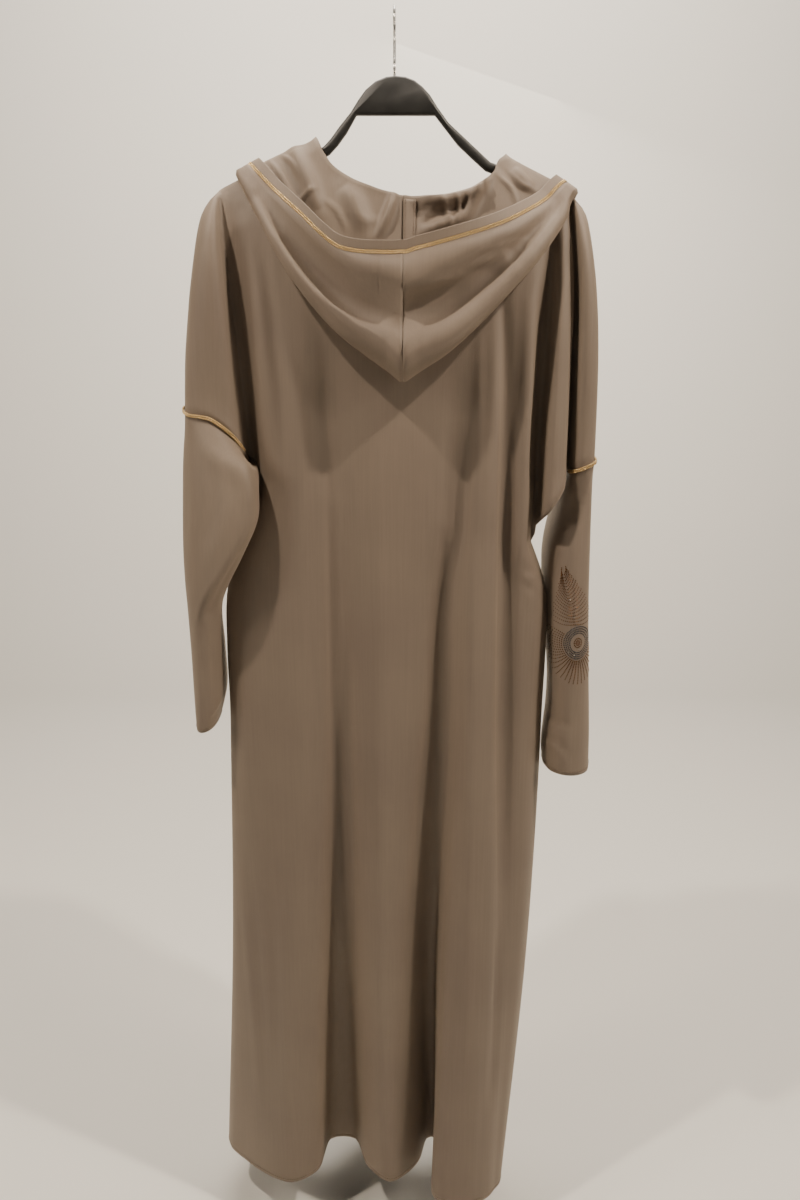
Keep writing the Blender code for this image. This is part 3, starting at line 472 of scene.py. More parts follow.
def underarm_upper(row, side):
    """Points of one line between the body and the sleeve."""
    x_top, x_between, x_seam, z_seam = row[1:5]
    y_line = row[5] if side < 0 else row[6]
    run_seam = run_at(x_seam, z_seam)
    points = []
    for t in UPPER_ROWS:
        x = x_top + (x_between - x_top) * (smooth(t / 0.4) if x_between > x_top > 0.0 else t)
        point = fall_point(x, run_seam * t, side)
        weight = 1.0 - (1.0 - t) ** 1.2 if y_line == 0.0 else smooth(t / 0.5)
        point.y += weight * (y_line - point.y)
        if side * point.y < EDGE_STRIP and y_line == 0.0:
            point.y = side * EDGE_STRIP
        points.append(point)
    points[-1] = Vector((x_seam, 0.0, z_seam))
    return points


def wing_lines(overarm, valley, side, bow):
    """Lines of an upper sleeve, from the overarm fold to beside its valley."""
    path = [Vector((x, seam_y(overarm[0][0]) * (1.0 - smooth(i / 4)), z))
            for i, (x, z) in enumerate(overarm)]
    path = even_points(curve_through(path, [4] * (len(path) - 1)), OVERARM_POINTS)
    bulge = BACK_BULGE if side < 0 else FRONT_BULGE
    lines = []
    for across, lift in WING_SECTION:
        line = []
        for row, t in enumerate(UPPER_ROWS):
            outer = path[round(t * OVERARM_POINTS)]
            point = outer.lerp(valley[row], across)
            point.y += side * bulge * lift * (1.0 - math.exp(-t / BULGE_START))
            point.z += bow * math.sin(math.pi * across ** 1.6) * t ** 4
            line.append(point)
        lines.append(line)
    return lines


def panel_rows(side, folds, neckline):
    """Grid of a body panel with its upper sleeves. None where there is no cloth."""
    body = []
    last = len(folds) - 1
    for index, fold in enumerate(folds):
        body.append(body_upper(fold, side, neckline, index in (0, 1, last - 1, last)))
    left_under = [underarm_upper(row, side) for row in LEFT_UNDERARM]
    right_under = [underarm_upper(row, side) for row in RIGHT_UNDERARM]
    left_wing = wing_lines(LEFT_OVERARM, left_under[-1], side, LEFT_SEAM_BOW)
    right_wing = wing_lines(RIGHT_OVERARM, right_under[-1], side, 0.0)
    lines = left_wing + left_under[::-1] + body + right_under + right_wing[::-1]
    first = len(left_wing) + len(left_under)
    steps = [1] * (len(lines) - 1)
    for span in range(first, first + last):
        steps[span] = 2 if side < 0 or span in (first, first + last - 1) else 1
    for span in (2, 3, 4, 5):
        steps[span] = 2
        steps[-1 - span] = 2

    rows = [curve_through([line[r] for line in lines], steps) for r in range(len(UPPER_ROWS))]
    start = sum(steps[:first])
    end = start + sum(steps[first:first + last])
    width = len(rows[0])
    left_end = sum(steps[:len(left_wing)])
    right_end = width - 1 - sum(steps[-len(right_wing):])
    half_gap = Vector((0.0, side * SEAM_GAP / 2.0, 0.0))
    strip = Vector((0.0, side * EDGE_STRIP, 0.0))
    up = Vector((0.0, 0.0, EDGE_STRIP))

    # The top edge follows the shoulder line, with a strip straight off the seam
    for c, point in enumerate(rows[0]):
        if not NECK_LEFT < point.x < NECK_RIGHT:
            rows[0][c] = Vector((point.x, seam_y(point.x), ridge_z(point.x))) + half_gap
            rows[1][c] = rows[0][c] + strip
    # So does the overarm seam. Its corner with the shoulder seam is one point
    for edge, inner in ((0, 1), (width - 1, width - 2)):
        for r in range(2, len(rows)):
            rows[r][edge] += half_gap
            rows[r][inner] = rows[r][edge] + strip
        corner = rows[0][edge]
        rows[0][inner] = rows[1][edge] = corner
        rows[1][inner] = corner + strip
        rows[0][edge] = None

    # The elbow seams have a strip straight up
    for c in list(range(left_end)) + list(range(right_end + 1, width)):
        rows[-2][c] = rows[-1][c] + up
    rings = (rows[-1][:left_end + 1], rows[-1][right_end:][::-1])
    # The underarm seams have one straight off the seam, and stop short of the sleeve
    for c in list(range(left_end, start + 1)) + list(range(end, right_end + 1)):
        rows[-1][c].y = half_gap.y
        rows[-2][c] = rows[-1][c] + strip
    rows[-1][left_end] = rows[-1][right_end] = None

    # The side seams go on from there, with their corners at the armpits as one point
    lower = [body_lower(fold, line[-1]) for fold, line in zip(folds, body)]
    lower_steps = steps[first:first + last]
    rows[-1][start + 1] = rows[-2][start]
    rows[-1][end - 1] = rows[-2][end]
    for r in range(1, len(lower[0])):
        cells = curve_through([line[r] for line in lower], lower_steps)
        for edge, inner in ((0, 1), (-1, -2)):
            cells[edge] += half_gap
            cells[inner] = cells[edge] + strip
        rows.append([None] * start + cells + [None] * (width - end - 1))
    return rows, rings


def between(points, share):
    """Point between the second and third of four, on the curve through them."""
    p0, p1, p2, p3 = points
    return spline([p for p, q in ((p0, p1), (p1, None), (p2, None), (p3, p2)) if p is not q],
                  share, 0 if p0 is p1 else 1)


def finer(lines, reach, closed=False, strips=True):
    """Lines added between the given ones, on smooth curves, so that none is further apart."""
    count = len(lines)
    made = []
    for span in range(count if closed else count - 1):
        low, high = lines[span], lines[(span + 1) % count]
        before = lines[(span - 1) % count] if closed or span else low
        after = lines[(span + 2) % count] if closed or span + 2 < count else high
        gaps = sorted((b - a).length for a, b in zip(low, high)
                      if a is not None and b is not None and a is not b)
        steps = max(1, round(gaps[len(gaps) * 3 // 4] / reach))
        # The strip beside a seam stays one step wide
        if strips and gaps[0] < 1.5 * EDGE_STRIP:
            steps = 1
        made.append(list(low))
        for step in range(1, steps):
            line = []
            for p0, p1, p2, p3 in zip(before, low, high, after):
                if p1 is None or p2 is None:
                    line.append(None)
                elif p1 is p2:
                    line.append(p1)
                else:
                    near = [p0 if p0 is not None else p1, p1, p2, p3 if p3 is not None else p2]
                    line.append(between(near, step / steps))
            made.append(line)
    if not closed:
        made.append(list(lines[-1]))
    return made


def fine_grid(rows, down, across, closed=False, strips=True):
    """The grid made finer both ways, through all its own points."""
    rows = finer(rows, down, strips=strips)
    columns = finer([list(column) for column in zip(*rows)], across, closed, strips)
    return [list(row) for row in zip(*columns)]


def surface(rows, closed=False):
    """Points and faces of a grid. A point used in two cells is one corner, None is no cloth."""
    mesh_points = []
    numbers = {}
    known = {}
    faces = []
    for r, row in enumerate(rows):
        for c, point in enumerate(row):
            if point is not None:
                if id(point) not in known:
                    known[id(point)] = len(mesh_points)
                    mesh_points.append(point)
                numbers[r, c] = known[id(point)]
    for r in range(len(rows) - 1):
        width = len(rows[r])
        for c in range(width if closed else width - 1):
            cells = ((r, c), (r, (c + 1) % width), (r + 1, (c + 1) % width), (r + 1, c))
            corners = [numbers.get(cell) for cell in cells]
            if None not in corners and len(set(corners)) == 4:
                faces.append(corners)
    return mesh_points, faces


def only_select(piece):
    """Make one piece the selected and active one."""
    bpy.ops.object.select_all(action="DESELECT")
    piece.select_set(True)
    bpy.context.view_layer.objects.active = piece


def cloth_form(name, rows, closed=False):
    """Single surface through the rows."""
    points, faces = surface(rows, closed)
    mesh = bpy.data.meshes.new(name)
    mesh.from_pydata(points, [], faces)
    piece = bpy.data.objects.new(name, mesh)
    bpy.context.scene.collection.objects.link(piece)
    return piece


# A crease: curve points between two given ones, and reach in half widths. Its depth
# fades to both ends as a half sine to this power, cut off by this share at each end
CREASE_POINTS = 6
CREASE_REACH = 3.0
CREASE_FADE = 0.6
CREASE_END = 0.03
# Where the cloth turns away from the side it faces, the crease fades out: these are the
# shares of the normal at which it ends, and over which it fades
CREASE_EDGE = 0.05
CREASE_EASE = 0.35
TO_CAMERA = (0.0, -1.0, 0.0)
FROM_CAMERA = (0.0, 1.0, 0.0)


def crease(piece, table, facing):
    """Push soft lines of the cloth out (depth above 0) or in, where it faces one way.

    Each line has a name, a depth, a half width and its points in x and z.
    """
    count = len(piece.data.vertices)
    place = np.empty(count * 3)
    normal = np.empty(count * 3)
    piece.data.vertices.foreach_get("co", place)
    piece.data.vertices.foreach_get("normal", normal)
    place, normal = place.reshape(-1, 3), normal.reshape(-1, 3)
    # The point nearest the camera faces it
    if normal[np.argmin(place[:, 1]), 1] > 0.0:
        normal = -normal
    turned = np.clip((normal @ np.array(facing) + CREASE_EDGE) / CREASE_EASE, 0.0, 1.0)
    shift = np.zeros(count)
    for _, depth, width, path in table:
        path = [Vector((x, z, 0.0)) for x, z in path]
        path = curve_through(path, [CREASE_POINTS] * (len(path) - 1))
        path = np.array([point[:2] for point in path])
        flat = place[:, [0, 2]]
        reach = CREASE_REACH * width
        inside = (flat > path.min(axis=0) - reach) & (flat < path.max(axis=0) + reach)
        close = np.nonzero(inside.all(axis=1))[0]
        flat = flat[close]
        best = np.full(len(close), 1.0)
        along = np.zeros(len(close))
        for index in range(len(path) - 1):
            line = path[index + 1] - path[index]
            offset = flat - path[index]
            share = np.clip(offset @ line / max(line @ line, 1e-12), 0.0, 1.0)
            gap = np.linalg.norm(offset - share[:, None] * line, axis=1)
            along = np.where(gap < best, (index + share) / (len(path) - 1), along)
            best = np.minimum(gap, best)
        fade = np.sin(math.pi * np.clip(along, CREASE_END, 1.0 - CREASE_END)) ** CREASE_FADE
        shift[close] += depth * fade * np.exp(-(best / width) ** 2) * turned[close]
    place += normal * shift[:, None]
    piece.data.vertices.foreach_set("co", place.ravel())
    piece.data.update()


# The cloth in the looks is thinner than the solid's wall
SHELL = 0.0010


def finish_cloth(piece, finish, node):
    """Give the sheet its thickness, finish and place in the frame."""
    only_select(piece)
    wall = piece.modifiers.new("wall", "SOLIDIFY")
    wall.thickness = SHELL
    wall.offset = 0.0
    bpy.ops.object.modifier_apply(modifier=wall.name)
    bpy.ops.object.shade_smooth()
    piece.data.materials.append(finish)
    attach(piece, "root")
    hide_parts(node)


# Polyester crepe: matt face with a soft sheen, a fine pebbled weave, and faint slubs
# down and across the cloth. The weave is drawn at 0.9 mm, coarser than its real 0.3 mm.
crepe, tree, shader, place = new_material("taupe_crepe")
down = add_node(tree, "ShaderNodeMapping", {"Vector": place, "Scale": (420.0, 420.0, 9.0)})
slub = add_node(tree, "ShaderNodeTexNoise", {"Vector": down.outputs["Vector"], "Scale": 1.0,
                                             "Detail": 3.0})
weave = add_node(tree, "ShaderNodeTexNoise", {"Vector": place, "Scale": 1100.0, "Detail": 2.0})
cloudy = add_node(tree, "ShaderNodeTexNoise", {"Vector": place, "Scale": 7.0, "Detail": 4.0})
tone = add_node(tree, "ShaderNodeValToRGB", {"Fac": cloudy.outputs["Fac"]})
tone.color_ramp.elements[0].position = 0.30
tone.color_ramp.elements[0].color = (*linear("#786b5f"), 1.0)
tone.color_ramp.elements[1].position = 0.75
tone.color_ramp.elements[1].color = (*linear("#807365"), 1.0)
streak = add_node(tree, "ShaderNodeMapRange", {"Value": slub.outputs["Fac"], "From Min": 0.3,
                                               "From Max": 0.7, "To Min": 0.965,
                                               "To Max": 1.03})
colour = add_node(tree, "ShaderNodeVectorMath", {0: tone.outputs["Color"],
                                                 1: streak.outputs["Result"]},
                  operation="MULTIPLY")
bump = add_node(tree, "ShaderNodeBump", {"Height": weave.outputs["Fac"], "Strength": 0.35,
                                         "Distance": 0.0004})
gloss = add_node(tree, "ShaderNodeMapRange", {"Value": weave.outputs["Fac"], "To Min": 0.50,
                                              "To Max": 0.66})
tree.links.new(colour.outputs["Vector"], shader.inputs["Base Color"])
tree.links.new(gloss.outputs["Result"], shader.inputs["Roughness"])
tree.links.new(bump.outputs["Normal"], shader.inputs["Normal"])
shader.inputs["Sheen Weight"].default_value = 0.25
shader.inputs["Sheen Roughness"].default_value = 0.45
shader.inputs["Sheen Tint"].default_value = (*linear("#d9c7ae"), 1.0)
shader.inputs["Specular IOR Level"].default_value = 0.35

back_rows, back_rings = panel_rows(-1.0, BACK_FOLDS, NECK_BACK)
# Largest cells of the cloth, down and across it
PANEL_DOWN = 0.010
BACK_ACROSS = 0.006
back = cloth_form("back_cloth", fine_grid(back_rows, PANEL_DOWN, BACK_ACROSS))
# name, depth (out is above 0), half width, points in x and z
BACK_CREASES = (
    ("shoulder_wrinkle", -0.0018, 0.0030, ((-0.197, -0.217), (-0.180, -0.210), (-0.161, -0.208))),
    ("shoulder_wrinkle_low", 0.0014, 0.0030, ((-0.195, -0.223), (-0.179, -0.217),
        (-0.163, -0.216))),
    ("left_soft_a", -0.0035, 0.0090, ((-0.151, -0.229), (-0.140, -0.302), (-0.132, -0.400),
        (-0.128, -0.503))),
    ("left_soft_b", 0.0025, 0.0080, ((-0.154, -0.302), (-0.114, -0.389), (-0.107, -0.491),
        (-0.113, -0.648))),
    ("trough_1", -0.0035, 0.0070, ((-0.080, -0.411), (-0.077, -0.550), (-0.077, -0.783),
        (-0.077, -0.983), (-0.080, -1.118))),
    ("trough_1_side", -0.0020, 0.0040, ((-0.058, -0.673), (-0.055, -0.783), (-0.056, -0.983),
        (-0.060, -1.210), (-0.065, -1.408))),
    ("ridge_2", 0.0015, 0.0070, ((-0.025, -0.434), (-0.018, -0.648), (-0.019, -0.912),
        (-0.019, -1.210))),
    ("trough_2_side", -0.0025, 0.0050, ((0.048, -0.598), (0.042, -0.783), (0.026, -0.983),
        (0.021, -1.132))),
    ("trough_2", -0.0040, 0.0080, ((0.070, -0.389), (0.066, -0.468), (0.060, -0.598),
        (0.057, -0.750), (0.046, -0.912))),
    ("ridge_3_edge", 0.0030, 0.0060, ((0.096, -0.334), (0.097, -0.446), (0.093, -0.598),
        (0.092, -0.783), (0.095, -1.056), (0.096, -1.374))),
    ("trough_3", -0.0090, 0.0080, ((0.119, -0.271), (0.125, -0.356), (0.129, -0.446),
        (0.131, -0.598), (0.134, -0.783), (0.138, -0.983), (0.140, -1.210))),
    ("trough_3_low", -0.0050, 0.0060, ((0.137, -1.102), (0.136, -1.242), (0.132, -1.374))),
    ("right_ridge", 0.0040, 0.0060, ((0.148, -0.302), (0.150, -0.400), (0.151, -0.479),
        (0.150, -0.598), (0.155, -0.776), (0.158, -0.983))),
    ("right_hollow", -0.0050, 0.0060, ((0.164, -0.292), (0.166, -0.378), (0.163, -0.456),
        (0.160, -0.514))),
    ("waist_crease_a", -0.0025, 0.0026, ((0.153, -0.606), (0.163, -0.613), (0.173, -0.625))),
    ("waist_crease_b", -0.0025, 0.0026, ((0.156, -0.628), (0.166, -0.635), (0.176, -0.648))),
    ("waist_crease_c", -0.0020, 0.0026, ((0.157, -0.653), (0.166, -0.663), (0.174, -0.678))),
    ("waist_crease_d", 0.0018, 0.0024, ((0.155, -0.618), (0.166, -0.625), (0.176, -0.635))),
    ("left_low", 0.0016, 0.0040, ((-0.209, -1.012), (-0.203, -1.194), (-0.197, -1.408))),
    ("left_low_side", -0.0014, 0.0050, ((-0.195, -0.998), (-0.187, -1.194), (-0.182, -1.425))),
    ("hem_right_a", -0.0020, 0.0050, ((0.084, -1.210), (0.081, -1.340), (0.079, -1.513))),
    ("hem_right_b", 0.0020, 0.0050, ((0.108, -1.179), (0.109, -1.340), (0.107, -1.513))),
    ("hem_left_a", -0.0016, 0.0060, ((-0.165, -1.056), (-0.164, -1.242), (-0.178, -1.477))),
    ("elbow_pucker_a", -0.0012, 0.0020, ((-0.223, -0.427), (-0.217, -0.416), (-0.214, -0.402))),
    ("elbow_pucker_b", -0.0013, 0.0020, ((-0.193, -0.439), (-0.188, -0.427), (-0.188, -0.414))),
    ("elbow_pucker_c", -0.0012, 0.0018, ((-0.181, -0.453), (-0.176, -0.442), (-0.176, -0.431))),
)
crease(back, BACK_CREASES, TO_CAMERA)
finish_cloth(back, crepe, "back_panel")


# Front: the same crepe and cut as the back with a deeper neck, sewn to it along the
# shoulders, arms and sides. The photo hides it, so it is plain, with folds like the back's.
# The columns are those of the back's folds.
FRONT_FOLDS = (
    ("side_left", -0.186, -0.167, 0.000, -0.213, 0.000, -0.229, 0.020, -0.2575, 0.049),
    ("turn_left", -0.178, -0.154, 0.020, -0.208, 0.016, -0.226, 0.038, -0.2560, 0.074),
    ("ridge_1a", -0.150, -0.135, 0.040, -0.182, 0.044, -0.200, 0.078, -0.228, 0.122),
    ("ridge_1b", -0.112, -0.105, 0.050, -0.145, 0.056, -0.158, 0.088, -0.172, 0.126),
    ("valley_1a", -0.092, -0.082, 0.047, -0.110, 0.050, -0.122, 0.070, -0.142, 0.096),
    ("valley_1b", -0.0885, -0.060, 0.046, -0.084, 0.048, -0.094, 0.068, -0.106, 0.094),
    ("flank_2a", -0.074, -0.046, 0.050, -0.068, 0.054, -0.076, 0.080, -0.088, 0.114),
    ("ridge_2a", -0.040, -0.030, 0.053, -0.050, 0.062, -0.056, 0.094, -0.068, 0.138),
    ("ridge_2b", 0.010, 0.006, 0.054, -0.004, 0.064, -0.010, 0.098, -0.020, 0.142),
    ("valley_2a", 0.054, 0.040, 0.049, 0.036, 0.052, 0.028, 0.072, 0.014, 0.096),
    ("valley_2b", 0.090, 0.066, 0.048, 0.066, 0.050, 0.060, 0.070, 0.050, 0.094),
    ("flank_3a", 0.112, 0.084, 0.051, 0.086, 0.056, 0.082, 0.082, 0.071, 0.114),
    ("ridge_3a", 0.1245, 0.098, 0.053, 0.103, 0.060, 0.100, 0.090, 0.090, 0.130),
    ("ridge_3b", 0.128, 0.124, 0.050, 0.136, 0.058, 0.130, 0.086, 0.122, 0.118),
    ("flank_3", 0.150, 0.146, 0.038, 0.166, 0.042, 0.160, 0.056, 0.146, 0.064),
    ("turn_right", 0.168, 0.161, 0.020, 0.184, 0.018, 0.178, 0.018, 0.153, 0.008),
    ("side_right", 0.176, 0.167, 0.000, 0.189, 0.000, 0.181, -0.003, 0.153, -0.023),
)
front_rows, front_rings = panel_rows(1.0, FRONT_FOLDS, NECK_FRONT)
FRONT_DOWN = 0.012
FRONT_ACROSS = 0.008
front = cloth_form("front_cloth", fine_grid(front_rows, FRONT_DOWN, FRONT_ACROSS))
finish_cloth(front, crepe, "front_panel")


# Lower sleeves: a tube of crepe each, sewn to the upper sleeve at the elbow, with a
# narrow hem at the cuff. The left one folds sharply at the elbow and swings to the back.
# Sections from elbow to cuff: z at the outer and inner fold, x at the outer and inner
# fold, half depth, y of the middle, and how far the inner fold lies off the middle
LEFT_SLEEVE = (
    (-0.452, -0.494, -0.2505, -0.1625, 0.045, -0.003, -0.027),
    (-0.474, -0.517, -0.2530, -0.1610, 0.043, -0.005, -0.034),
    (-0.530, -0.548, -0.2565, -0.1615, 0.041, -0.008, -0.042),
    (-0.585, -0.592, -0.2585, -0.1810, 0.039, -0.010, -0.042),
    (-0.625, -0.630, -0.2580, -0.2015, 0.039, -0.010, -0.034),
    (-0.665, -0.665, -0.2570, -0.2155, 0.041, -0.005, -0.018),
    (-0.725, -0.725, -0.2565, -0.2175, 0.044, 0.000, -0.006),
    (-0.775, -0.775, -0.2560, -0.2185, 0.045, 0.000, 0.000),
    (-0.800, -0.800, -0.2555, -0.2240, 0.044, 0.000, 0.000),
    (-0.822, -0.820, -0.2545, -0.2300, 0.042, 0.000, 0.000),
)
RIGHT_SLEEVE = (
    (-0.525, -0.545, 0.2380, 0.1985, 0.052, 0.004, 0.028),
    (-0.585, -0.595, 0.2400, 0.1875, 0.055, 0.006, 0.020),
    (-0.660, -0.665, 0.2420, 0.1890, 0.054, 0.006, 0.010),
    (-0.755, -0.755, 0.2470, 0.1968, 0.051, 0.006, 0.000),
    (-0.800, -0.800, 0.2500, 0.1965, 0.049, 0.006, 0.000),
    (-0.830, -0.830, 0.2515, 0.1935, 0.047, 0.004, 0.000),
    (-0.856, -0.856, 0.2525, 0.1920, 0.046, 0.004, 0.000),
    (-0.880, -0.880, 0.2530, 0.1945, 0.045, 0.004, 0.000),
)
SLEEVE_ROUNDNESS = 0.85
# Gap at the elbow seam, and how far the sleeve keeps off the underarm corner there,
# within this turn round the arm, in radians
SLEEVE_GAP = 0.0005
SLEEVE_CORNER = 0.0024
CORNER_TURN = 0.35


def sleeve_ring(back, front):
    """Elbow seam from the panels' own edges, with each point's angle round the arm."""
    ring = []
    for edge, start in ((back, 0.0), (front[::-1], math.pi)):
        lengths = [0.0]
        for a, b in zip(edge, edge[1:]):
            lengths.append(lengths[-1] + (b - a).length)
        for point, length in list(zip(edge, lengths))[:-1]:
            ring.append((point, start + math.pi * length / lengths[-1]))
    return ring


def sleeve_point(row, angle):
    """Point of a lower sleeve's section: outer fold, back, inner fold, front."""
    z_outer, z_inner, x_outer, x_inner, depth, y_middle, y_inner = row
    way = (1.0 - math.cos(angle)) / 2.0
    lift = math.copysign(abs(math.sin(angle)) ** SLEEVE_ROUNDNESS, math.sin(angle))
    return Vector((
        x_outer + (x_inner - x_outer) * way,
        y_middle + y_inner * way - depth * lift,
        z_outer + (z_inner - z_outer) * way,
    ))


def sleeve_rows(ring, table):
    """Rows of a lower sleeve, from the elbow seam to the cuff."""
    columns = []
    away = math.copysign(SLEEVE_CORNER, ring[0][0].x)
    for point, angle in ring:
        near = math.exp(-((angle - math.pi) / CORNER_TURN) ** 2)
        top = point + Vector((away * near, 0.0, -SLEEVE_GAP - 0.5 * SLEEVE_CORNER * near))
        strip = top - Vector((0.0, 0.0, EDGE_STRIP))
        path = [strip] + [sleeve_point(row, angle) for row in table]
        columns.append([top] + curve_through(path, [2] + [1] * (len(table) - 1)))
    return [[column[r] for column in columns] for r in range(len(columns[0]))]


left_ring = sleeve_ring(back_rings[0], front_rings[0])
right_ring = sleeve_ring(back_rings[1], front_rings[1])
# name, depth, half width, points in x and z
LEFT_SLEEVE_CREASES = (
    ("elbow_edge", 0.0070, 0.0080, ((-0.184, -0.463), (-0.174, -0.500), (-0.167, -0.535))),
    ("elbow_ridge", 0.0035, 0.0045, ((-0.167, -0.549), (-0.196, -0.597), (-0.226, -0.641),
        (-0.242, -0.681))),
    ("under_elbow", -0.0040, 0.0060, ((-0.175, -0.579), (-0.203, -0.628), (-0.227, -0.674))),
    ("front_of_elbow", -0.0025, 0.0090, ((-0.213, -0.467), (-0.208, -0.525), (-0.223, -0.585))),
    ("pucker_a", -0.0013, 0.0020, ((-0.202, -0.452), (-0.205, -0.465), (-0.212, -0.481))),
    ("pucker_b", -0.0014, 0.0020, ((-0.185, -0.470), (-0.182, -0.484), (-0.180, -0.497))),
    ("outer_soft", 0.0020, 0.0060, ((-0.235, -0.456), (-0.234, -0.525), (-0.240, -0.597))),
    ("inner_soft", -0.0025, 0.0050, ((-0.222, -0.659), (-0.223, -0.709), (-0.223, -0.774))),
    ("low_soft", 0.0018, 0.0060, ((-0.236, -0.696), (-0.238, -0.748), (-0.239, -0.798))),
    ("cuff_crush_a", -0.0020, 0.0022, ((-0.232, -0.806), (-0.222, -0.795), (-0.216, -0.782))),
    ("cuff_crush_b", 0.0018, 0.0020, ((-0.236, -0.803), (-0.227, -0.791), (-0.219, -0.778))),
)
RIGHT_SLEEVE_CREASES = (
    ("cuff_line_a", -0.0022, 0.0024, ((0.181, -0.837), (0.198, -0.834), (0.209, -0.838),
        (0.219, -0.850), (0.228, -0.865))),
    ("cuff_line_b", 0.0018, 0.0022, ((0.182, -0.845), (0.198, -0.842), (0.207, -0.848),
        (0.215, -0.861))),
    ("cuff_line_c", -0.0016, 0.0022, ((0.185, -0.814), (0.202, -0.810), (0.224, -0.811))),
    ("soft_a", -0.0020, 0.0060, ((0.205, -0.502), (0.206, -0.573), (0.201, -0.622))),
    ("soft_b", 0.0020, 0.0050, ((0.193, -0.514), (0.191, -0.573), (0.190, -0.646))),
    ("soft_c", -0.0020, 0.0060, ((0.197, -0.761), (0.201, -0.794), (0.200, -0.821))),
    ("pucker_a", -0.0012, 0.0020, ((0.200, -0.497), (0.199, -0.509), (0.199, -0.523))),
    ("pucker_b", -0.0012, 0.0020, ((0.211, -0.495), (0.212, -0.507), (0.211, -0.518))),
)
SLEEVE_STEP = 0.005
sleeve_grids = []
for side, ring, table, creases in (
        ("left", left_ring, LEFT_SLEEVE, LEFT_SLEEVE_CREASES),
        ("right", right_ring, RIGHT_SLEEVE, RIGHT_SLEEVE_CREASES)):
    grid = fine_grid(sleeve_rows(ring, table), SLEEVE_STEP, SLEEVE_STEP, closed=True,
                     strips=False)
    sleeve = cloth_form("sleeve_cloth_" + side, grid, closed=True)
    crease(sleeve, creases, TO_CAMERA)
    finish_cloth(sleeve, crepe, "sleeve_" + side)
    sleeve_grids.append(grid)
left_grid, right_grid = sleeve_grids


# Cords on the elbow seams: two gold cords side by side, each twisted from two strands of
# metallic thread, sewn over the seam on the outside of the cloth, with their ends under
# the arm. They follow the plain round bar of the solids.
LANES = 2
LANE_APART = 0.0021
STRANDS = 2
STRAND_RADIUS = 0.00062
STRAND_SIDES = 5
# Length of one whole turn of the twist, and length of one step along it
STRAND_TURN = 0.0046
STRAND_STEP = 0.0008
# The solids' wall and cord, and how far each end of the cord keeps off the corner
CLOTH = 0.0016
CORD_RADIUS = 0.00125
CORD_END = 0.006
# The cords cover the seam and the edge of the cloth above it
CORD_UP = 0.0008


def small_piece(name, corners, faces, finish):
    """A piece of its own corners and faces, with its finish and place in the frame."""
    mesh = bpy.data.meshes.new(name)
    mesh.from_pydata(corners, [], faces)
    mesh.materials.append(finish)
    piece = bpy.data.objects.new(name, mesh)
    bpy.context.scene.collection.objects.link(piece)
    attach(piece, "root")
    return piece


def gold_braid(name, points, across, finish, node):
    """Two twisted cords side by side along a path. Across is the way from one to the other."""
    length = sum((b - a).length for a, b in zip(points, points[1:]))
    path = even_points(curve_through(points, [4] * (len(points) - 1)),
                       round(length / STRAND_STEP))
    corners, faces = [], []
    sides = STRAND_SIDES
    for lane in range(LANES):
        for strand in range(STRANDS):
            first = len(corners)
            for index, point in enumerate(path):
                way = (path[min(index + 1, len(path) - 1)] - path[max(index - 1, 0)]).normalized()
                place = index / (len(path) - 1) * (len(across) - 1)
                low = min(int(place), len(across) - 2)
                side = across[low].lerp(across[low + 1], place - low)
                side = (side - way * side.dot(way)).normalized()
                over = way.cross(side)
                turn = 2.0 * math.pi * (index * STRAND_STEP / STRAND_TURN + strand / STRANDS
                                        + 0.25 * lane)
                middle = (point + side * LANE_APART * (lane - 0.5)
                          + (side * math.cos(turn) + over * math.sin(turn)) * STRAND_RADIUS)
                for step in range(sides):
                    angle = 2.0 * math.pi * step / sides
                    corners.append(middle + STRAND_RADIUS * (side * math.cos(angle)
                                                             + over * math.sin(angle)))
            for ring in range(len(path) - 1):
                low = first + ring * sides
                for step in range(sides):
                    after = (step + 1) % sides
                    faces.append((low + step, low + after, low + sides + after,
                                  low + sides + step))
            faces.append(tuple(range(first + sides - 1, first - 1, -1)))
            faces.append(tuple(range(len(corners) - sides, len(corners))))
    piece = small_piece(name, corners, faces, finish)
    piece.data.shade_smooth()
    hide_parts(node)


# Gold lurex thread: metallic film wound on a core, so it glints in small flecks
gold, tree, shader, place = new_material("gold_lurex_thread")
fleck = add_node(tree, "ShaderNodeTexNoise", {"Vector": place, "Scale": 1400.0, "Detail": 2.0})
tone = add_node(tree, "ShaderNodeValToRGB", {"Fac": fleck.outputs["Fac"]})
tone.color_ramp.elements[0].position = 0.35
tone.color_ramp.elements[0].color = (*linear("#b3935f"), 1.0)
tone.color_ramp.elements[1].position = 0.65
tone.color_ramp.elements[1].color = (*linear("#ecd3a0"), 1.0)
tree.links.new(tone.outputs["Color"], shader.inputs["Base Color"])
shader.inputs["Metallic"].default_value = 0.65
shader.inputs["Roughness"].default_value = 0.38


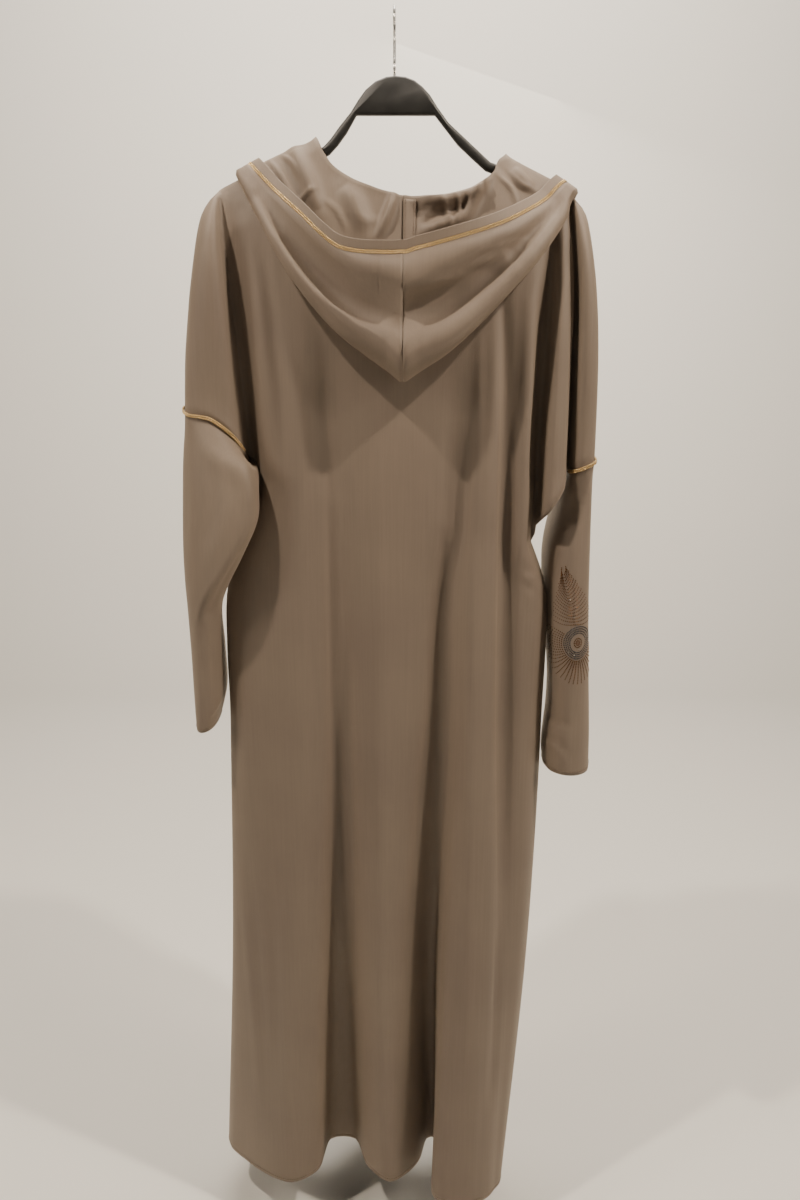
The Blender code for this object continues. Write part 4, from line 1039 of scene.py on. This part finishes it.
def seam_cord_path(ring):
    """Path of the cord on an elbow seam, made from the seam's points and moved out."""
    count = len(ring)
    inner = min(range(count), key=lambda i: abs(ring[i][1] - math.pi))
    corner = ring[inner][0]
    points = []
    for step in range(1, count):
        point = ring[(inner + step) % count][0]
        if (point - corner).length < CORD_END:
            continue
        if points and (point - points[-1]).length < CORD_RADIUS:
            points[-1] = points[-1].lerp(point, 0.5)
        else:
            points.append(point)
    turn = Vector((0.0, 0.0, math.copysign(1.0, corner.x)))
    path = []
    for index, point in enumerate(points):
        before, after = points[max(index - 1, 0)], points[min(index + 1, len(points) - 1)]
        out = turn.cross(after - before).normalized()
        sharp = max(0.6, out.dot(turn.cross(after - point if after != point else
                                           point - before).normalized()))
        path.append(point + out * (CLOTH / 2.0 + CORD_RADIUS + SEAM_GAP) / sharp
                    + Vector((0.0, 0.0, CORD_UP)))
    return path


upright = [Vector((0.0, 0.0, 1.0))] * 2
gold_braid("elbow_cord_left", seam_cord_path(left_ring), upright, gold, "sleeve_cord_left")
gold_braid("elbow_cord_right", seam_cord_path(right_ring), upright, gold, "sleeve_cord_right")


# Hood: two halves of crepe joined by a seam down the centre and sewn to the neckline.
# It lies turned back on the shoulders, its edge towards the camera, and goes on over the
# shoulders to the front, where its ends meet in a notch.
# Stations from the centre back over the shoulder to the centre front: turn round the
# neck in degrees, x of the neckline, cord x y z, fold x y z
LEFT_HOOD = (
    (0, 0.009, 0.009, -0.100, -0.259, 0.009, -0.078, -0.390),
    (8, -0.015, -0.017, -0.098, -0.259, -0.032, -0.075, -0.362),
    (20, -0.045, -0.060, -0.086, -0.252, -0.070, -0.072, -0.332),
    (38, -0.068, -0.100, -0.062, -0.217, -0.114, -0.064, -0.279),
    (62, -0.083, -0.133, -0.034, -0.187, -0.148, -0.042, -0.220),
    (90, -0.092, -0.162, 0.000, -0.1595, -0.176, 0.000, -0.1685),
    (125, -0.080, -0.132, 0.041, -0.195, -0.148, 0.040, -0.215),
    (160, -0.048, -0.076, 0.062, -0.232, -0.086, 0.058, -0.252),
    (180, 0.012, 0.006, 0.068, -0.245, 0.004, 0.063, -0.268),
)
RIGHT_HOOD = (
    (0, 0.009, 0.009, -0.100, -0.259, 0.009, -0.078, -0.390),
    (8, 0.035, 0.037, -0.098, -0.252, 0.058, -0.075, -0.360),
    (20, 0.072, 0.072, -0.092, -0.242, 0.100, -0.072, -0.320),
    (38, 0.102, 0.117, -0.073, -0.226, 0.146, -0.064, -0.274),
    (62, 0.119, 0.160, -0.038, -0.202, 0.183, -0.040, -0.226),
    (90, 0.128, 0.190, 0.000, -0.1785, 0.203, 0.000, -0.1890),
    (125, 0.116, 0.160, 0.041, -0.218, 0.178, 0.042, -0.240),
    (160, 0.080, 0.108, 0.062, -0.242, 0.118, 0.058, -0.262),
    (180, 0.014, 0.026, 0.068, -0.245, 0.028, 0.063, -0.268),
)
# Rows of the hood between two stations, closer together over the shoulder
HOOD_SHARES = (
    (0.0, 0.5), (0.0, 0.5), (0.0, 0.5), (0.0, 0.34, 0.67), (0.0, 0.28, 0.52, 0.72, 0.88),
    (0.0, 0.10, 0.24, 0.42, 0.68), (0.0, 0.5), (0.0, 0.5),
)
# Distances from the panels: the under layer, the fold, the outer layer, what the layers
# have more over the shoulder, and the under layer's spare at the back
HOOD_UNDER_CLEARANCE = 0.0036
HOOD_FOLD_CLEARANCE = 0.0060
HOOD_OUTER_CLEARANCE = 0.0084
HOOD_SHOULDER_SPARE = 0.0010
HOOD_BACK_SPARE = 0.007
# Places of the under layer's points, from the neck to the fold
HOOD_UNDER = (0.06, 0.28, 0.50, 0.75, 0.92)
# Rise of the hood's edge above the neckline, and more of it at the sides
HOOD_NECK_RISE = 0.0050
HOOD_SIDE_RISE = 0.0050
# The hood's outer layer, cord to fold: way down and how far it stands out
HOOD_LAYER = ((0.0, 0.0), (0.22, 0.004), (0.46, -0.006), (0.60, 0.004), (0.74, 0.020),
              (0.90, 0.015))
HOOD_LAYER_HEIGHT = 0.131


def clear_of_robe(point, distance, robe_tree, always):
    """Move a point out to a distance from the panels, always or where it is closer."""
    nearest, normal = robe_tree.find_nearest(point)[:2]
    if normal.dot(Vector((0.0, nearest.y, 0.02))) < 0.0:
        normal = -normal
    offset = point - nearest
    outside = offset.dot(normal) > 0.0 and offset.length > 1e-5
    if outside and not always and offset.length > distance:
        return point
    return nearest + (offset.normalized() if outside else normal) * distance


def hood_rows(table):
    """The hood's table with smooth rows between its own."""
    rows = []
    for span, shares in enumerate(HOOD_SHARES):
        for t in shares:
            before = table[max(span - 1, 0)]
            low, high = table[span], table[span + 1]
            after = table[min(span + 2, len(table) - 1)]
            rows.append([
                0.5 * (2 * b + (c - a) * t + (2 * a - 5 * b + 4 * c - d) * t * t
                       + (3 * b - a - 3 * c + d) * t ** 3)
                for a, b, c, d in zip(before, low, high, after)
            ])
    return rows + [list(table[-1])]


def hood_section(row, neck_side, robe_tree):
    """Section of the hood: neck edge, under layer, fold, outer layer up to the cord."""
    turn, x_neck = math.radians(row[0]), row[1]
    cord_point, fold = Vector(row[2:5]), Vector(row[5:8])
    at_back = row[0] <= 90.0
    side = -1.0 if at_back else 1.0
    x_neck = min(max(x_neck, NECK_LEFT), NECK_RIGHT)
    run_neck = top_run(x_neck, NECK_BACK if at_back else NECK_FRONT)
    neck = fall_point(x_neck, run_neck, side)
    across = math.sin(turn)
    off = Vector((-neck_side * across, 0.0, 1.1 - 0.3 * across)).normalized()
    rise = HOOD_NECK_RISE + HOOD_SIDE_RISE * across
    extra = HOOD_SHOULDER_SPARE * across ** 4
    # The under layer follows the panel, moved out
    run_fold = run_at(fold.x, fold.z)
    under = []
    for share in HOOD_UNDER:
        x = x_neck + (fold.x - x_neck) * share
        point = fall_point(x, run_neck + (run_fold - run_neck) * share, side)
        spare = HOOD_BACK_SPARE * share * abs(math.cos(turn)) if at_back else 0.0
        reach = HOOD_UNDER_CLEARANCE + spare + extra
        under.append(clear_of_robe(point, reach, robe_tree, True))
    base = under[0] + (neck - under[1]) * 0.1
    points = [base + off * rise, base + off * rise * 0.4] + under
    points.append(clear_of_robe(fold, HOOD_FOLD_CLEARANCE + extra, robe_tree, not at_back))
    # The outer layer rises to the cord
    out = Vector((0.0, -math.cos(turn), math.sin(turn)))
    scale = (fold - cord_point).length / HOOD_LAYER_HEIGHT if at_back else 0.0
    for way, stand in HOOD_LAYER[::-1]:
        point = cord_point.lerp(fold, way) + out * stand * scale
        reach = HOOD_OUTER_CLEARANCE + extra * 1.6
        points.append(clear_of_robe(point, reach, robe_tree, not at_back))
    return points


def hood_grid(table, neck_side, robe_tree):
    """Rows of half the hood, from its centre seam to the centre front."""
    rows = [hood_section(row, neck_side, robe_tree) for row in hood_rows(table)]
    for end in (0, -1):
        for point in rows[end]:
            point.x += neck_side * SEAM_GAP / 2.0
    rows.insert(1, [point + Vector((neck_side * EDGE_STRIP, 0.0, 0.0)) for point in rows[0]])
    return rows


back_points, back_faces = surface(back_rows)
front_points, front_faces = surface(front_rows)
front_faces = [[corner + len(back_points) for corner in face] for face in front_faces]
robe_tree = BVHTree.FromPolygons(back_points + front_points, back_faces + front_faces)
left_rows = hood_grid(LEFT_HOOD, -1.0, robe_tree)
right_rows = hood_grid(RIGHT_HOOD, 1.0, robe_tree)
# Outer face of the left half: name, depth, half width, points in x and z
HOOD_LEFT_CREASES = (
    ("roll", 0.0050, 0.0055, ((-0.153, -0.201), (-0.121, -0.255), (-0.086, -0.297),
        (-0.044, -0.327), (0.000, -0.352))),
    ("trough_over_roll", -0.0080, 0.0070, ((-0.148, -0.192), (-0.115, -0.239), (-0.077, -0.282),
        (-0.039, -0.314), (0.001, -0.339))),
    ("trough_under_roll", -0.0065, 0.0055, ((-0.154, -0.218), (-0.120, -0.275), (-0.083, -0.316),
        (-0.044, -0.346), (-0.002, -0.367))),
    ("shoulder_fold", 0.0045, 0.0045, ((-0.162, -0.178), (-0.126, -0.211), (-0.101, -0.242),
        (-0.076, -0.274))),
    ("under_the_strip", -0.0050, 0.0060, ((-0.155, -0.179), (-0.118, -0.216), (-0.087, -0.249),
        (-0.054, -0.271), (-0.011, -0.276))),
    ("outer_edge", 0.0030, 0.0050, ((-0.167, -0.195), (-0.139, -0.248), (-0.106, -0.297),
        (-0.061, -0.349), (-0.016, -0.377))),
    ("hollow", -0.0110, 0.0200, ((-0.130, -0.228), (-0.078, -0.284), (-0.036, -0.312),
        (0.001, -0.326))),
    ("step_a", -0.0014, 0.0022, ((-0.036, -0.265), (-0.023, -0.274), (-0.015, -0.285),
        (-0.001, -0.289))),
    ("step_b", 0.0014, 0.0022, ((-0.032, -0.272), (-0.017, -0.276), (0.001, -0.279))),
    ("pinch_a", -0.0018, 0.0024, ((-0.021, -0.368), (-0.010, -0.363), (0.002, -0.360))),
    ("pinch_b", 0.0016, 0.0024, ((-0.015, -0.355), (-0.005, -0.356), (0.002, -0.353))),
)
# Outer face of the right half
HOOD_RIGHT_CREASES = (
    ("roll", 0.0060, 0.0080, ((0.005, -0.356), (0.044, -0.349), (0.084, -0.324), (0.122, -0.283),
        (0.159, -0.237), (0.188, -0.201))),
    ("roll_edge", 0.0025, 0.0028, ((0.006, -0.347), (0.046, -0.339), (0.084, -0.310),
        (0.113, -0.286), (0.149, -0.257), (0.183, -0.219))),
    ("trough_over_roll", -0.0090, 0.0090, ((0.005, -0.331), (0.043, -0.323), (0.077, -0.301),
        (0.111, -0.273), (0.145, -0.244), (0.175, -0.213))),
    ("face_break", 0.0035, 0.0050, ((0.005, -0.290), (0.043, -0.287), (0.073, -0.280),
        (0.110, -0.260), (0.145, -0.241))),
    ("hollow", -0.0110, 0.0190, ((0.005, -0.318), (0.043, -0.311), (0.084, -0.288),
        (0.125, -0.258))),
    ("line_a", -0.0013, 0.0018, ((0.052, -0.282), (0.082, -0.275), (0.118, -0.262))),
    ("line_b", -0.0012, 0.0018, ((0.074, -0.265), (0.110, -0.255), (0.145, -0.241))),
    ("line_c", -0.0011, 0.0016, ((0.096, -0.250), (0.127, -0.240), (0.157, -0.233))),
    ("line_d", 0.0012, 0.0018, ((0.085, -0.270), (0.110, -0.262), (0.136, -0.251))),
    ("line_e", -0.0012, 0.0016, ((0.116, -0.252), (0.143, -0.248), (0.164, -0.240))),
    ("near_cord_a", 0.0013, 0.0030, ((0.013, -0.267), (0.043, -0.259), (0.067, -0.250))),
    ("near_cord_b", -0.0012, 0.0030, ((0.019, -0.274), (0.049, -0.266), (0.076, -0.258))),
    ("pinch", -0.0016, 0.0024, ((0.005, -0.362), (0.014, -0.367), (0.026, -0.367))),
)
# Inner face, above the neck. A depth below 0 stands out to the camera here
INSIDE_LEFT_CREASES = (
    ("shoulder_fold", -0.0095, 0.0080, ((-0.111, -0.142), (-0.096, -0.174), (-0.082, -0.211))),
    ("second_fold", -0.0081, 0.0100, ((-0.055, -0.182), (-0.044, -0.202), (-0.031, -0.234))),
    ("centre_fold", -0.0095, 0.0045, ((0.001, -0.188), (-0.007, -0.212), (-0.019, -0.238))),
    ("wrinkle_a", -0.0034, 0.0024, ((-0.155, -0.156), (-0.137, -0.168), (-0.121, -0.191))),
    ("wrinkle_b", -0.0038, 0.0024, ((-0.139, -0.154), (-0.124, -0.172), (-0.110, -0.202))),
    ("wrinkle_c", -0.0030, 0.0020, ((-0.125, -0.148), (-0.113, -0.158), (-0.104, -0.174))),
    ("wrinkle_d", -0.0034, 0.0022, ((-0.110, -0.205), (-0.097, -0.193), (-0.086, -0.188))),
    ("wrinkle_e", -0.0029, 0.0024, ((-0.077, -0.197), (-0.061, -0.212), (-0.053, -0.230))),
    ("wrinkle_f", -0.0027, 0.0022, ((-0.044, -0.211), (-0.031, -0.219), (-0.018, -0.219))),
)
# The same on the right
INSIDE_RIGHT_CREASES = (
    ("top_edge", -0.0170, 0.0065, ((0.026, -0.197), (0.045, -0.199), (0.066, -0.196),
        (0.098, -0.184))),
    ("dark_ridge", -0.0100, 0.0060, ((0.026, -0.232), (0.050, -0.226), (0.074, -0.214))),
    ("edge_fold", -0.0121, 0.0055, ((0.104, -0.154), (0.092, -0.184), (0.075, -0.225))),
    ("side_fold", -0.0054, 0.0060, ((0.131, -0.161), (0.142, -0.176), (0.154, -0.184))),
    ("wrinkle_a", -0.0042, 0.0024, ((0.025, -0.222), (0.042, -0.208), (0.062, -0.200))),
    ("wrinkle_b", -0.0042, 0.0022, ((0.031, -0.235), (0.053, -0.221), (0.075, -0.216))),
    ("wrinkle_c", -0.0038, 0.0020, ((0.047, -0.194), (0.057, -0.209), (0.061, -0.228))),
    ("wrinkle_d", -0.0034, 0.0020, ((0.064, -0.193), (0.071, -0.205), (0.070, -0.221))),
    ("wrinkle_e", -0.0034, 0.0022, ((0.026, -0.200), (0.037, -0.197), (0.051, -0.195))),
    ("wrinkle_f", -0.0030, 0.0024, ((0.115, -0.171), (0.129, -0.186), (0.134, -0.202))),
    ("wrinkle_g", -0.0030, 0.0022, ((0.125, -0.164), (0.140, -0.182), (0.159, -0.188))),
)
HOOD_STEP = 0.0035
hood_halves = []
for side, rows, outside, within in (
        ("left", left_rows, HOOD_LEFT_CREASES, INSIDE_LEFT_CREASES),
        ("right", right_rows, HOOD_RIGHT_CREASES, INSIDE_RIGHT_CREASES)):
    half = cloth_form("hood_cloth_" + side, fine_grid(rows, HOOD_STEP, HOOD_STEP))
    crease(half, outside, TO_CAMERA)
    crease(half, within, FROM_CAMERA)
    finish_cloth(half, crepe, "hood_" + side)
    hood_halves.append(half)


# Hood edge: a narrow strip of the crepe, sewn on round the whole edge of the hood, with
# the same two gold cords laid along its seam.
BAND_HEIGHT = 0.010
# Rows of the strip, as shares of its height
BAND_ROWS = (0.0, 0.1, 0.5, 0.9, 1.0)
BAND_STEPS = (0.003, 0.005)
edge = [row[-1] for row in left_rows[:0:-1]] + [row[-1] for row in right_rows[1:]]
inside = [row[-2] for row in left_rows[:0:-1]] + [row[-2] for row in right_rows[1:]]
rise = [(a - b).normalized() for a, b in zip(edge, inside)]
beside = zip(rise[:1] + rise, rise, rise[1:] + rise[-1:])
rise = [(a + 2.0 * b + c).normalized() for a, b, c in beside]
lift = CORD_RADIUS + 2.0 * SEAM_GAP
gold_braid("hood_edge_cord", [p + d * lift for p, d in zip(edge, rise)], rise, gold, "hood_cord")
band_rows = []
for share in BAND_ROWS:
    band_rows.append([p + d * (2.0 * lift + BAND_HEIGHT * share) for p, d in zip(edge, rise)])
band = cloth_form("hood_edge_strip", fine_grid(band_rows, *BAND_STEPS))
finish_cloth(band, crepe, "hood_band")

# Seam strip: the ends of the hood's centre seam, folded to one side inside the hood
# and stitched down along both edges. It is made as a small piece of crepe of its own.
# x and z of its left and right edge, from the top down
STRIP_PLACE = (
    ((0.0105, -0.1965), (0.0235, -0.1975)), ((0.0100, -0.212), (0.0232, -0.212)),
    ((0.0098, -0.228), (0.0230, -0.228)), ((0.0098, -0.246), (0.0228, -0.246)),
)
# How far it stands off the hood, half as far at its edges, and where they lie across it
STRIP_PROUD = 0.0018
STRIP_COLUMNS = (0.0, 0.12, 0.5, 0.88, 1.0)
STRIP_STEP = 0.003
# y inside the hood, from which the cloth of its inner face is looked for
INSIDE_FROM = -0.066
# Thickness of the sewing thread, and how far it lies off the cloth
THREAD = 0.0005
THREAD_LIFT = 0.0001


def cloth_tree(pieces):
    """What a ray can find of the pieces, as one."""
    points, faces = [], []
    for piece in pieces:
        first = len(points)
        points += [vertex.co.copy() for vertex in piece.data.vertices]
        faces += [[first + i for i in face.vertices] for face in piece.data.polygons]
    return BVHTree.FromPolygons(points, faces)


def on_cloth(tree, x, z, start_y):
    """Place and normal of the first cloth beyond a point, seen from the camera."""
    spot, normal = tree.ray_cast(Vector((x, start_y, z)), Vector(FROM_CAMERA))[:2]
    return spot, normal if normal.y < 0.0 else -normal


def stitches(name, lines, long, apart, finish):
    """Straight machine stitches along lines of (place, normal) pairs."""
    corners, faces = [], []
    for line in lines:
        spots = [spot for spot, normal in line]
        length = sum((b - a).length for a, b in zip(spots, spots[1:]))
        count = max(2, round(length / (long + apart)))
        path = even_points(spots, count * 2)
        normals = [normal for spot, normal in line]
        for index in range(count):
            low, high = path[index * 2], path[index * 2 + 1]
            place = (index + 0.5) / count * (len(normals) - 1)
            out = normals[min(round(place), len(normals) - 1)]
            way = high - low
            if way.length < 1e-6:
                continue
            middle = (low + high) / 2.0
            way = way.normalized() * long / 2.0
            side = way.cross(out).normalized() * THREAD / 2.0
            first = len(corners)
            for along, height in ((-1.0, -0.3), (-0.55, 1.0), (0.55, 1.0), (1.0, -0.3)):
                for across in (-1.0, 1.0):
                    corners.append(middle + way * along + side * across + out * THREAD * height)
            for step in range(3):
                low = first + step * 2
                faces.append((low, low + 1, low + 3, low + 2))
            faces.append((first, first + 2, first + 4, first + 6))
            faces.append((first + 7, first + 5, first + 3, first + 1))
            faces.append((first + 6, first + 7, first + 1, first))
    small_piece(name, corners, faces, finish)


# Polyester sewing thread, a little darker than the cloth and slightly shiny
thread, tree, shader, place = new_material("taupe_polyester_thread")
twist = add_node(tree, "ShaderNodeTexNoise", {"Vector": place, "Scale": 2500.0})
tone = add_node(tree, "ShaderNodeValToRGB", {"Fac": twist.outputs["Fac"]})
tone.color_ramp.elements[0].color = (*linear("#5a4a3c"), 1.0)
tone.color_ramp.elements[1].color = (*linear("#7a6854"), 1.0)
tree.links.new(tone.outputs["Color"], shader.inputs["Base Color"])
shader.inputs["Roughness"].default_value = 0.45

hood_tree = cloth_tree(hood_halves)
strip_rows = []
for left, right in STRIP_PLACE:
    row = []
    for share in STRIP_COLUMNS:
        x, z = (left[i] + (right[i] - left[i]) * share for i in (0, 1))
        spot, normal = on_cloth(hood_tree, x, z, INSIDE_FROM)
        row.append(spot + normal * (STRIP_PROUD if 0.0 < share < 1.0 else 0.5 * STRIP_PROUD))
    strip_rows.append(row)
strip_piece = cloth_form("hood_seam_strip", fine_grid(strip_rows, STRIP_STEP, STRIP_STEP))
finish_cloth(strip_piece, crepe, "hood_right")
lines = []
for column in (1, 3):
    edge_line = curve_through([row[column] for row in strip_rows], [6] * 3)
    lines.append([(point - Vector((0.0, SHELL / 2.0 + THREAD_LIFT, 0.0)), Vector(TO_CAMERA))
                  for point in edge_line])
stitches("strip_stitches", lines, 0.0024, 0.0010, thread)


# Hems: the lower edge and the cuffs are turned up once and stitched round, 5 mm up,
# by machine, in a thread a little darker than the cloth.
HEM_UP = 0.005


def hem_line(edge, above, out):
    """Line of (place, normal) pairs at the hem's stitches, between the last two rows."""
    line = []
    count = len(edge)
    for index, (low, high) in enumerate(zip(edge, above)):
        before, after = edge[max(index - 1, 0)], edge[min(index + 1, count - 1)]
        rise = (high - low).normalized()
        normal = (after - before).cross(rise).normalized() * out
        line.append((low + rise * HEM_UP + normal * (SHELL / 2.0 + THREAD_LIFT), normal))
    return line


lines = []
for rows, across, out in ((back_rows, BACK_ACROSS, 1.0), (front_rows, FRONT_ACROSS, -1.0)):
    grid = fine_grid(rows, PANEL_DOWN, across)
    edge, above = ([p for p in row if p is not None] for row in (grid[-1], grid[-2]))
    lines.append(hem_line(edge, above, out))
for grid, out in ((left_grid, 1.0), (right_grid, -1.0)):
    lines.append(hem_line(grid[-1] + grid[-1][:1], grid[-2] + grid[-2][:1], out))
stitches("hem_stitches", lines, 0.0026, 0.0008, thread)


# Stones: a feather with an eye, of small faceted glass stones glued on the back of the
# right sleeve with heat. The eye is copper in the middle and grey-blue round it, and
# barbs of bronze and copper stones spread from the eye and from the spine above it.
EYE_HEIGHT = -0.701
EYE_X = 0.2235
# Half width of a stone, and from one stone's middle to the next
STONE = 0.0009
STONE_APART = 0.0021
# The eye is taller than wide by this much. Its rings: half width and stone
EYE_TALL = 1.3
EYE_RINGS = ((0.0, "copper"), (0.0022, "copper"), (0.0045, "bronze"), (0.0096, "blue"),
             (0.0117, "blue"), (0.0138, "blue"), (0.0159, "blue"))
# Stones more in a ring than its width gives, and how far each ring is turned on
RING_FULL = 1.15
RING_TURN = 90.0
# The feather's spine above the eye: across and up from the eye's middle
SPINE = ((0.005, 0.024), (0.009, 0.040), (0.013, 0.058), (0.017, 0.075), (0.0195, 0.088))
# Barbs on the spine: how many a side, turn from straight up in degrees at its foot and
# its tip, bend, and length at its foot and its tip
SPINE_BARBS = 17
BARB_TURN = (100.0, 18.0)
BARB_BEND = -38.0
BARB_LONG = (0.024, 0.011)
# Barbs round the eye: first and last turn, how many, and lengths left, below and right,
# half width of the rim that they start from, and bend
EYE_BARBS = (62.0, 248.0, 30)
EYE_BARB_LONG = (0.017, 0.031, 0.020)
EYE_RIM = 0.0185
EYE_BARB_BEND = 22.0
# Larger clear stones among them: across and up from the eye's middle
BRIGHT_STONE = 1.25
BRIGHT_STONES = ((0.012, 0.056), (0.0105, -0.012), (-0.0015, -0.0085), (0.004, -0.0155),
                 (0.006, 0.033), (0.0135, 0.043), (0.021, -0.024))


def sleeve_spot(grid, x, height):
    """Place and normal on the back of a sleeve, or None beyond its outer fold."""
    column = [row[0].z for row in grid]
    level = 0
    while level < len(column) - 2 and column[level + 1] > height:
        level += 1
    share = (column[level] - height) / (column[level] - column[level + 1])
    section = [a.lerp(b, share) for a, b in zip(grid[level], grid[level + 1])]
    for low, high in zip(section, section[1:]):
        if low.x >= x > high.x:
            normal = (high - low).cross(Vector((0.0, 0.0, 1.0))).normalized()
            return low.lerp(high, (low.x - x) / (low.x - high.x)), (
                normal if normal.y < 0.0 else -normal)
    return None


def stones(name, spots, finish):
    """Six-sided stones with a flat top, one at each (place, normal, half width)."""
    corners, faces = [], []
    for spot, normal, half in spots:
        side = normal.cross(Vector((0.0, 0.0, 1.0))).normalized()
        up = normal.cross(side)
        first = len(corners)
        for radius, height in ((1.0, -0.1), (1.0, 0.25), (0.55, 0.75)):
            for step in range(6):
                angle = math.pi * step / 3.0
                corners.append(spot + normal * (SHELL / 2.0 + half * height)
                               + (side * math.cos(angle) + up * math.sin(angle)) * half * radius)
        for ring in (0, 6):
            for step in range(6):
                after = (step + 1) % 6
                faces.append((first + ring + step, first + ring + after,
                              first + ring + 6 + after, first + ring + 6 + step))
        faces.append(tuple(first + 12 + step for step in range(6)))
        faces.append(tuple(first + 5 - step for step in range(6)))
    piece = small_piece(name, corners, faces, finish)
    only_select(piece)
    bpy.ops.object.mode_set(mode="EDIT")
    bpy.ops.mesh.select_all(action="SELECT")
    bpy.ops.mesh.normals_make_consistent(inside=False)
    bpy.ops.object.mode_set(mode="OBJECT")


# Faceted glass with a foil back: the facets catch the lamps one at a time.
# A noise also mixes each stone towards dark brown: painted shade, for stones that miss the lamps
glass = {}
for stone_name, code, metal in (("copper", "#9a6238", 0.60), ("bronze", "#84603a", 0.55),
                                ("blue", "#5d6a76", 0.60), ("clear", "#e8e2d6", 0.55)):
    glass[stone_name], tree, shader, place = new_material("foiled_glass_" + stone_name)
    # Painted shade: this noise darkens the stones at random towards dark brown
    stone_painted_shade = add_node(tree, "ShaderNodeTexNoise", {"Vector": place, "Scale": 380.0})
    tone = add_node(tree, "ShaderNodeMixRGB", {"Fac": stone_painted_shade.outputs["Fac"],
                                               "Color1": (*linear(code), 1.0),
                                               "Color2": (*linear("#3a2c20"), 1.0)})
    tree.links.new(tone.outputs["Color"], shader.inputs["Base Color"])
    shader.inputs["Metallic"].default_value = metal
    shader.inputs["Roughness"].default_value = 0.22

spots = {"copper": [], "bronze": [], "blue": [], "clear": []}


def place_stone(kind, across, up, half=STONE):
    """Put one stone on the sleeve, its place given from the eye's middle."""
    found = sleeve_spot(right_grid, EYE_X - across, EYE_HEIGHT + up)
    if found:
        spots[kind].append((*found, half))


def barb(across, up, turn, bend, long, number):
    """A curved row of small stones that starts at a point. Its turn is from straight up."""
    count = round(long / STONE_APART)
    for index in range(count):
        place_stone("copper" if (index + number) % 3 == 0 else "bronze", across, up,
                    STONE * (1.0 - 0.2 * index / count))
        angle = math.radians(turn + bend * index / count)
        across += STONE_APART * math.sin(angle)
        up += STONE_APART * math.cos(angle)


for radius, kind in EYE_RINGS:
    count = max(1, round(2.0 * math.pi * radius * RING_FULL / STONE_APART))
    for index in range(count):
        angle = 2.0 * math.pi * index / count + radius * RING_TURN
        place_stone(kind, radius * math.sin(angle), radius * EYE_TALL * math.cos(angle))
spine = even_points(curve_through([Vector((a, u, 0.0)) for a, u in SPINE], [8] * 4), SPINE_BARBS)
for number, point in enumerate(spine):
    share = number / SPINE_BARBS
    turn = BARB_TURN[0] + (BARB_TURN[1] - BARB_TURN[0]) * share ** 0.8
    long = BARB_LONG[0] + (BARB_LONG[1] - BARB_LONG[0]) * share ** 1.5
    barb(point.x + STONE_APART / 2.0, point.y, turn, BARB_BEND, long, number)
    barb(point.x - STONE_APART / 2.0, point.y, -turn, -BARB_BEND, long * 1.05, number + 1)
first_turn, last_turn, count = EYE_BARBS
for number in range(count):
    share = number / (count - 1)
    turn = first_turn + (last_turn - first_turn) * share
    left, below, right = EYE_BARB_LONG
    beside = left if turn < 180.0 else right
    angle = math.radians(turn)
    long = beside + (below - beside) * abs(math.cos(angle)) ** 1.5
    barb(EYE_RIM * math.sin(angle), EYE_RIM * EYE_TALL * math.cos(angle), turn,
         EYE_BARB_BEND * (1.0 - 2.0 * share), long, number)
for across, up in BRIGHT_STONES:
    place_stone("clear", across, up, BRIGHT_STONE * STONE)
for kind, places in spots.items():
    stones("sleeve_stones_" + kind, places, glass[kind])

size = {"cad": cad_box, "visual": [list(corner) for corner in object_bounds()]}
